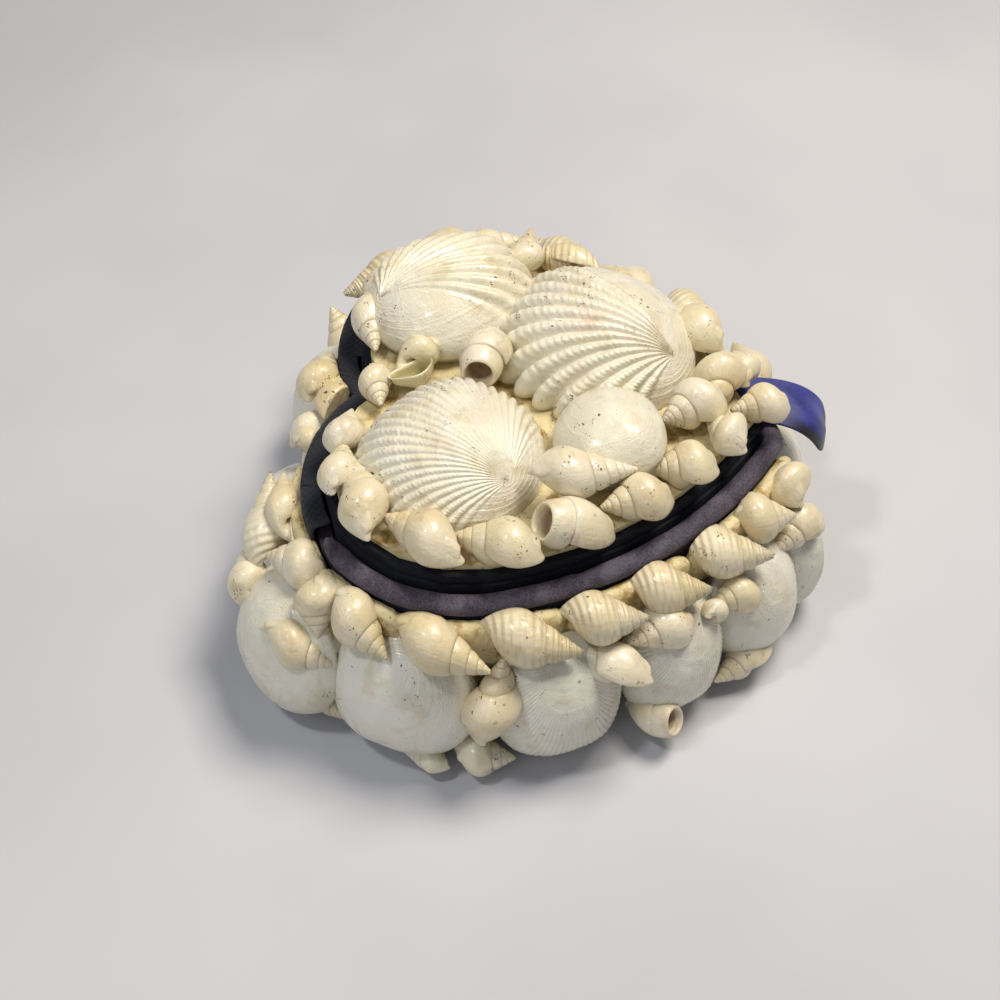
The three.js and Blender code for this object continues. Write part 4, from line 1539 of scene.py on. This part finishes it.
@dataclass
class Base:
    """The box: velvet board and lining, the padded roll, glue, valves and whelks round its wall."""

    wardrobe: Wardrobe
    shells: Shells
    rim: float = 29.0
    wall_out: float = 1.95
    roll_radius: float = 1.7
    roll_height: float = 31.0
    roll_points: int = 16
    roll_loops: int = 220
    roll_start: float = 0.1317
    bead_proud: float = 0.6
    bead_depth: float = 9.0
    bead_middle: float = 2.5
    bead_inner: float = 0.9
    bead_half: float = 1.6
    bead_spread: float = 0.006
    runs: tuple[tuple[float, float, tuple[tuple, ...]], ...] = (
        (0.945, 1.045, (
            (0.968, 5, 2, -160, 0, 12.5, 7.6, P, 0), (0.998, 4.4, 2.4, 172, 0, 12.5, 7.6, P, 30),
            (0.028, 5, -1, 160, 0, 10.5, 7.4, S, 0), (0.04, 2.8, 0.2, -140, 0, 8, 6, P, 0))),
        (0.062, 0.14, (
            (0.092, 3.8, -1.2, 178, 0, 15.6, 7.8, P, 150), (0.09, 8, -4, -174, 24, 17, 7.4, R, 20),
            (0.108, 12.2, -9, -168, 26, 11.5, 6.6, P, 0), (0.13, 5, -2, 136, 0, 11.8, 9, S, 0))),
        (0.148, 0.2, (
            (0.157, 6, -3, 42, -45, 11, 8, P, 0), (0.184, 5.2, -1.6, 14, -18, 13.8, 8.4, P, 0),
            (0.157, 11.3, -8.6, -25, -10, 13, 8, S, 0))),
        (0.208, 0.3, (
            (0.229, 5.4, -1.2, 17, -6, 17.4, 9, P, 0), (0.276, 5.2, -1, 23, -6, 17.4, 9, R, -20))),
        (0.306, 0.388, (
            (0.323, 5.2, -1, 20, 0, 14.2, 9, R, 20), (0.319, 9, -8, -144, 8, 15.6, 7.8, P, 20),
            (0.355, 8.4, -6, 180, 0, 12, 8.2, P, -30), (0.367, 5, -1, 30, 0, 14.2, 9, R, 0))),
        (0.396, 0.498, (
            (0.414, 5.4, -1.2, 44, 0, 15.4, 9, R, 30), (0.413, 9, -8, -165, 0, 10.6, 8, P, 170),
            (0.45, 5, -1, 40, 0, 11.4, 8.8, P, 0), (0.47, 9, -6.6, 180, 0, 11.6, 8, P, 0),
            (0.483, 4.8, -1.2, -58, 0, 10.4, 8.6, S, 0))),
    )
    foot: tuple[WhelkPlace, ...] = (
        WhelkPlace("shell_upright", 0.254, 9.4, 18, -66, 66, 16.5, 9.4, S, 0, ("whelk_upright",)),
        WhelkPlace("shell_foot", 0.346, 11.4, 5.2, 60, 24, 10.5, 7.2, B, 0, ("whelk_foot",)),
        WhelkPlace("shell_foot_left", 0.168, 8.6, 5, 10, 0, 8, 5, P),
        WhelkPlace("shell_foot_spire", 0.222, 10.4, 3.2, -170, 0, 9, 5, N),
        WhelkPlace("shell_foot_brown", 0.25, 10.2, 4.2, 8, 0, 10, 7, P, 60),
        WhelkPlace("shell_foot_right", 0.412, 12.6, 5.2, -176, -6, 12, 6.4, P, 20),
        WhelkPlace("shell_small_spire", 0.392, 9.6, 22, -30, -20, 6, 4.4, P),
        WhelkPlace("shell_notch_upper", 0.992, 6.4, 16.5, -78, 68, 14, 8.4, P, 60),
        WhelkPlace("shell_notch_lower", 0.012, 6.8, 7.4, -104, -64, 12.5, 8, S, 200),
        WhelkPlace("shell_notch_foot", 0.978, 7.6, 4.4, 12, 0, 9.5, 6.2, N),
    )
    valves: tuple[tuple[float, float, float, float, float], ...] = (
        (0.14, 8.4, 25, 8.6, 10), (0.207, 4.6, 25, 8, 0), (0.293, 6, 22, 8, 0), (0.37, 6.4, 19, 7.6, 6),
        (0.436, 6.8, 19, 8, 0), (0.478, 6.4, 14, 7.4, 0), (0.545, 4.6, 19, 7.6, 0), (0.625, 4.6, 21, 7.8, 0),
        (0.705, 4.6, 21, 7.8, 0), (0.785, 4.6, 21, 7.8, 0), (0.86, 4.6, 20, 7.6, 0), (0.93, 4.6, 18, 7.4, 0),
        (0.062, 6, 19, 7.6, 0))
    valve_foot: float = 1.4
    valve_tall: float = 24.0
    valve_lean: float = 13.0
    lined_valves: tuple[int, ...] = (3, 4, 6, 8, 10, 12)
    far_gaps: tuple[float, ...] = (0.585, 0.665, 0.745, 0.822, 0.895)

    def build(self, frame: dict[str, object]) -> None:
        """Builds the base's pieces.
        """
        for node, material in (("heart_box", self.wardrobe.board), ("lining_collar", self.wardrobe.navy),
                               ("wall_glue", self.wardrobe.glue)):
            frame["nodes"][node].data.materials.clear()
            frame["nodes"][node].data.materials.append(material)
        self.build_roll()
        self.build_valves()
        self.build_runs()
        for row in [*self.foot, *self.gap_whelks()]:
            self.shells.whelk(row, "base", lowest=0.3 * MM, least_out=self.wall_out * MM)

    def gap_whelks(self) -> list[WhelkPlace]:
        """Works out the small whelks that stand between the valves of the far side."""
        kinds = (P, N, R, S)
        return [
            WhelkPlace(f"shell_gap_{i + 1}", share, 7.2, 19.5 + i % 2, -70 if i % 2 else 110,
                       58 - 9 * (i % 3), 12.5 - i % 3, 7.4, kinds[i % len(kinds)], 70.0 * i)
            for i, share in enumerate(self.far_gaps)]

    def build_roll(self) -> None:
        """Models the padded roll along the rim, narrowing to a rounded end on each side of the hinge."""
        start = self.roll_start
        shares = np.linspace(start, 1 - start, self.roll_loops)
        loops = []
        for share in shares:
            point, _, outward = HEART.frame(share, 0)
            from_end = min(share - start, 1 - start - share) * 2 * HEART.half_run / MM
            swell = math.sqrt(max(1 - (1 - min(from_end / 6.0, 1)) ** 2, 0.03))
            pinch = 1 - 0.16 * math.exp(-((share - 0.318) / 0.004) ** 2)
            uneven = 1 + 0.035 * math.sin(share * 140) * math.sin(share * 53)
            radius = self.roll_radius * swell * pinch * uneven
            turn = np.linspace(0, 2 * math.pi, self.roll_points, endpoint=False)
            out, up = radius * np.cos(turn), radius * np.sin(turn) * 0.98
            loops.append(np.column_stack([
                point.x + outward.x * out * MM, point.y + outward.y * out * MM,
                (self.roll_height + up) * MM]))
        roll = drawn_loops("velvet_roll", np.array(loops))
        lay_out(roll, self.roll_points, 1.0)
        dress(roll, self.wardrobe.plum, "base", ("rim_roll",))

    def build_valves(self) -> None:
        """Models the valves against the wall, beaks up and lower edges leaning out."""
        for i, (share, out, wide, dome, spin) in enumerate(self.valves, start=1):
            point, along, outward = HEART.frame(share, out * MM)
            basis = Matrix((
                (along.x, 0, outward.x, point.x), (along.y, 0, outward.y, point.y),
                (0, 1, 0, (self.valve_foot + self.valve_tall / 2) * MM), (0, 0, 0, 1)))
            matrix = (basis @ Matrix.Rotation(-math.radians(self.valve_lean), 4, "X")
                      @ Matrix.Rotation(-math.radians(spin), 4, "Z"))
            lined = i in self.lined_valves
            form = ValveForm(
                wide, self.valve_tall, dome, ribs=64 if lined else 0, rib_height=0.15, rib_start=0.05,
                rib_end=0.95, steps=9, step_height=0.05, points=256 if lined else 112, loops=44)
            name = f"wall_valve_{i:02d}"
            piece = form.model(f"shell_{name}", matrix, 3.1 * i)
            Shells.press(piece, 0.2 * MM, self.wall_out * MM)
            set_tone(piece, float(self.shells.random.uniform(0.0, 0.6)))
            dress(piece, self.wardrobe.valve, "base", (name,))

    def far_runs(self) -> list[tuple[float, float, tuple[tuple, ...]]]:
        """Works out the runs of the far side, which go on in the same way."""
        low, high, count, spacing = 0.548, 0.89, 6, 0.004
        pitch = (high - low) / count
        rows = []
        for first in (0, 3):
            places = tuple(
                (low + pitch * (first + i + 0.5), 5.4, -1.2, 196 if i % 2 else 18, -4, 16, 8.8,
                 R if (first + i) % 2 else P, 25 * i) for i in range(3))
            rows.append((low + pitch * first + spacing, low + pitch * (first + 3) - spacing, places))
        return rows

    def build_runs(self) -> None:
        """Lays the runs of whelks round the box, each in its bead of glue."""
        for number, (start, end, rows) in enumerate([*self.runs, *self.far_runs()], start=1):
            node = f"whelk_run_{number}"
            for letter, (share, out, height, spire, lean, long, girth, kind, roll) in zip("abcdef", rows):
                row = WhelkPlace(f"shell_run_{number}{letter}", share, out, self.rim + height, spire, lean,
                                 long, girth, kind, roll, (node,))
                self.shells.whelk(row, "base", least_out=self.wall_out * MM)
            self.build_bead(f"glue_bead_{number}", start - self.bead_spread, end + self.bead_spread, node)

    def build_bead(self, name: str, start: float, end: float, node: str) -> None:
        """Models one lumpy bead of glue along the top of the wall.

        Args:
            name: the name of the piece.
            start: share of the outline where it starts.
            end: share where it ends.
            node: the CAD node it stands for.
        """
        steps = max(8, round((end - start) * 2 * HEART.half_run / (1.0 * MM)))
        turn = np.linspace(0, 2 * math.pi, 16, endpoint=False)
        loops = []
        for i in range(steps + 1):
            share = start + (end - start) * i / steps
            swell = math.sqrt(max(1 - (2 * i / steps - 1) ** 8, 0.05))
            point, _, outward = HEART.frame(share, 0)
            across = np.sign(np.cos(turn)) * np.abs(np.cos(turn)) ** 0.6
            out = self.bead_middle + self.bead_half * swell * across
            half = (self.bead_depth + self.bead_proud) / 2
            up = self.rim + self.bead_proud - half + half * swell * np.sign(np.sin(turn)) * np.abs(
                np.sin(turn)) ** 0.6
            loops.append(np.column_stack([
                (point.x / MM + outward.x * out), (point.y / MM + outward.y * out), up]))
        skin = np.array(loops)
        middle = skin.mean(axis=1, keepdims=True)
        heading = (skin - middle) / np.maximum(np.linalg.norm(skin - middle, axis=2, keepdims=True), 1e-6)
        skin = (skin + heading * (0.4 * lumps(skin, 5.0, 2.0 + start * 9))[..., None]) * MM
        bead = drawn_loops(name, skin)
        lay_out(bead, 16, 1.0)
        Shells.press(bead, None, self.bead_inner * MM)
        dress(bead, self.wardrobe.glue, "base", (node,))


@dataclass
class Hinge:
    """The hinge cloth: a strip over the top of the wall behind both lobes, and a tongue at each lobe."""

    wardrobe: Wardrobe
    end_share: float = 0.1247
    tongue_half: float = 6.0
    tongue_length: float = 10.5

    def build(self) -> None:
        """Builds the strip, which stays on the box, and the two tongues."""
        self.build_strip()
        for side, name in ((-1, "hinge_tongue_left"), (1, "hinge_tongue_right")):
            self.build_tongue(name, side)

    def cloth(self, name: str, rows: int, columns: int, places: np.ndarray, flat: np.ndarray,
              thick: float) -> bpy.types.Object:
        """Models a sheet of cloth from a grid whose points are laid over what carries it.

        Args:
            name: the name of the piece.
            rows: points down the sheet.
            columns: points along it.
            places: where each point lies, row by row.
            flat: where each point is on the flat cloth, in metres.
            thick: the cloth's thickness in metres.

        Returns:
            The piece.
        """
        clear_selection()
        bpy.ops.mesh.primitive_grid_add(x_subdivisions=columns - 1, y_subdivisions=rows - 1, size=1)
        piece = bpy.context.object
        piece.name = name
        set_points(piece, places)
        write_map(piece, flat[corner_points(piece)])
        bpy.ops.object.mode_set(mode="EDIT")
        bpy.ops.mesh.select_all(action="SELECT")
        bpy.ops.mesh.normals_make_consistent(inside=False)
        bpy.ops.object.mode_set(mode="OBJECT")
        solid = piece.modifiers.new("thickness", "SOLIDIFY")
        solid.thickness = thick
        solid.offset = 0
        bpy.ops.object.modifier_apply(modifier=solid.name)
        bpy.ops.object.shade_smooth()
        return piece

    def build_strip(self) -> None:
        """Lays the strip from inside the wall over its top and down its outside."""
        profile = ((-1.5, 32.2), (-1.2, 32.35), (0.0, 32.4), (0.9, 32.35), (1.45, 31.9), (1.6, 31.0),
                   (1.6, 29.5), (1.6, 28.0), (1.6, 26.4), (1.6, 25.1))
        shares = np.linspace(-self.end_share, self.end_share, 120)
        places, flat = [], []
        down = 0.0
        for i, (out, up) in enumerate(profile):
            if i:
                down += math.hypot(out - profile[i - 1][0], up - profile[i - 1][1])
            for share in shares:
                point, _, _ = HEART.frame(share, out * MM)
                wrinkle = 0.05 * math.sin(share * 400 + up) * (1 if up < 31 else 0.3)
                _, _, outward = HEART.frame(share, 0)
                places.append((
                    point.x + outward.x * wrinkle * MM, point.y + outward.y * wrinkle * MM, up * MM))
                flat.append((share * 2 * HEART.half_run, down * MM))
        strip = self.cloth(
            "hinge_strip", len(profile), len(shares), np.array(places), np.array(flat), 0.5 * MM)
        dress(strip, self.wardrobe.hinge, "base", ("hinge_cloth",))

    def build_tongue(self, name: str, side: int) -> None:
        """Lays one tongue from the top of the wall to the underside of the lid.

        Args:
            name: the name of the piece.
            side: -1 for the left lobe, 1 for the right.
        """
        across = np.linspace(-self.tongue_half, self.tongue_half, 20)
        down = np.linspace(0, self.tongue_length, 24)
        places, flat = [], []
        for run in down:
            for x in across:
                lobe = math.sqrt(25.0 ** 2 - x ** 2) - 25.0
                y = 38.3 - run + lobe
                z = 32.86 - 0.35 * math.exp(-((run - 2.2) / 1.5) ** 2)
                places.append(((side * 15 + x) * MM, y * MM, z * MM))
                flat.append((x * MM, run * MM))
        tongue = self.cloth(name, len(down), len(across), np.array(places), np.array(flat), 0.25 * MM)
        tongue.data.materials.clear()
        tongue.data.materials.append(self.wardrobe.hinge)
        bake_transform(tongue)


@dataclass
class Studio:
    """Plain floor, soft light and the camera of the photograph."""

    wardrobe: Wardrobe
    camera_place: tuple[float, float, float] = (-0.1751, -0.0151, 0.2195)
    target: tuple[float, float, float] = (-0.0076, 0.0076, 0.018)
    field_of_view: float = 36.0

    def build(self) -> None:
        """Builds the floor, the lights and the camera."""
        clear_selection()
        bpy.ops.mesh.primitive_plane_add(size=8.0)
        floor = bpy.context.object
        floor.name = "floor"
        floor.data.materials.append(self.wardrobe.floor)
        self.add_light("key_light", (0.12, -0.16, 0.52), 0.2, 3.1, "fff6ea")
        self.add_light("fill_light", (-0.45, 0.25, 0.35), 0.6, 0.95, "eef2ff")
        self.add_light("glint_light", (-0.12, 0.2, 0.5), 0.05, 0.6, "ffffff")
        self.set_air()
        self.add_camera()
        bpy.context.scene.view_settings.view_transform = "Standard"

    def add_light(self, name: str, place: tuple[float, float, float], size: float, power: float,
                  colour: str) -> None:
        """Adds an area light that points at the box.

        Args:
            name: the light's name.
            place: where it hangs.
            size: its side.
            power: in watts.
            colour: as six hex digits.
        """
        data = bpy.data.lights.new(name, "AREA")
        data.size = size
        data.energy = power
        data.color = linear(colour)[:3]
        light = bpy.data.objects.new(name, data)
        light.location = place
        heading = Vector(self.target) - Vector(place)
        light.rotation_euler = heading.to_track_quat("-Z", "Y").to_euler()
        bpy.context.scene.collection.objects.link(light)

    @staticmethod
    def set_air() -> None:
        """Gives the room its soft grey light."""
        world = bpy.data.worlds.new("room")
        world.use_nodes = True
        back = world.node_tree.nodes["Background"]
        back.inputs[0].default_value = (0.78, 0.8, 0.84, 1)
        back.inputs[1].default_value = 0.11
        bpy.context.scene.world = world

    def add_camera(self) -> None:
        """Sets the camera at the photograph's viewing angle."""
        data = bpy.data.cameras.new("photo_camera")
        data.sensor_width = 36.0
        data.lens = 18.0 / math.tan(math.radians(self.field_of_view / 2))
        data.clip_start = 0.01
        camera = bpy.data.objects.new("photo_camera", data)
        camera.location = self.camera_place
        heading = Vector(self.target) - Vector(self.camera_place)
        camera.rotation_euler = heading.to_track_quat("-Z", "Y").to_euler()
        bpy.context.scene.collection.objects.link(camera)
        bpy.context.scene.camera = camera


def main() -> None:
    """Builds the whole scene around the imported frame."""
    logging.basicConfig(level=logging.INFO, format="%(message)s")
    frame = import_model()
    wardrobe = Wardrobe()
    shells = Shells(wardrobe)
    Base(wardrobe, shells).build(frame)
    Lid(wardrobe, shells).build(frame)
    Hinge(wardrobe).build()
    shells.put_patterns_away()
    Studio(wardrobe).build()


if __name__ == "__main__":
    main()
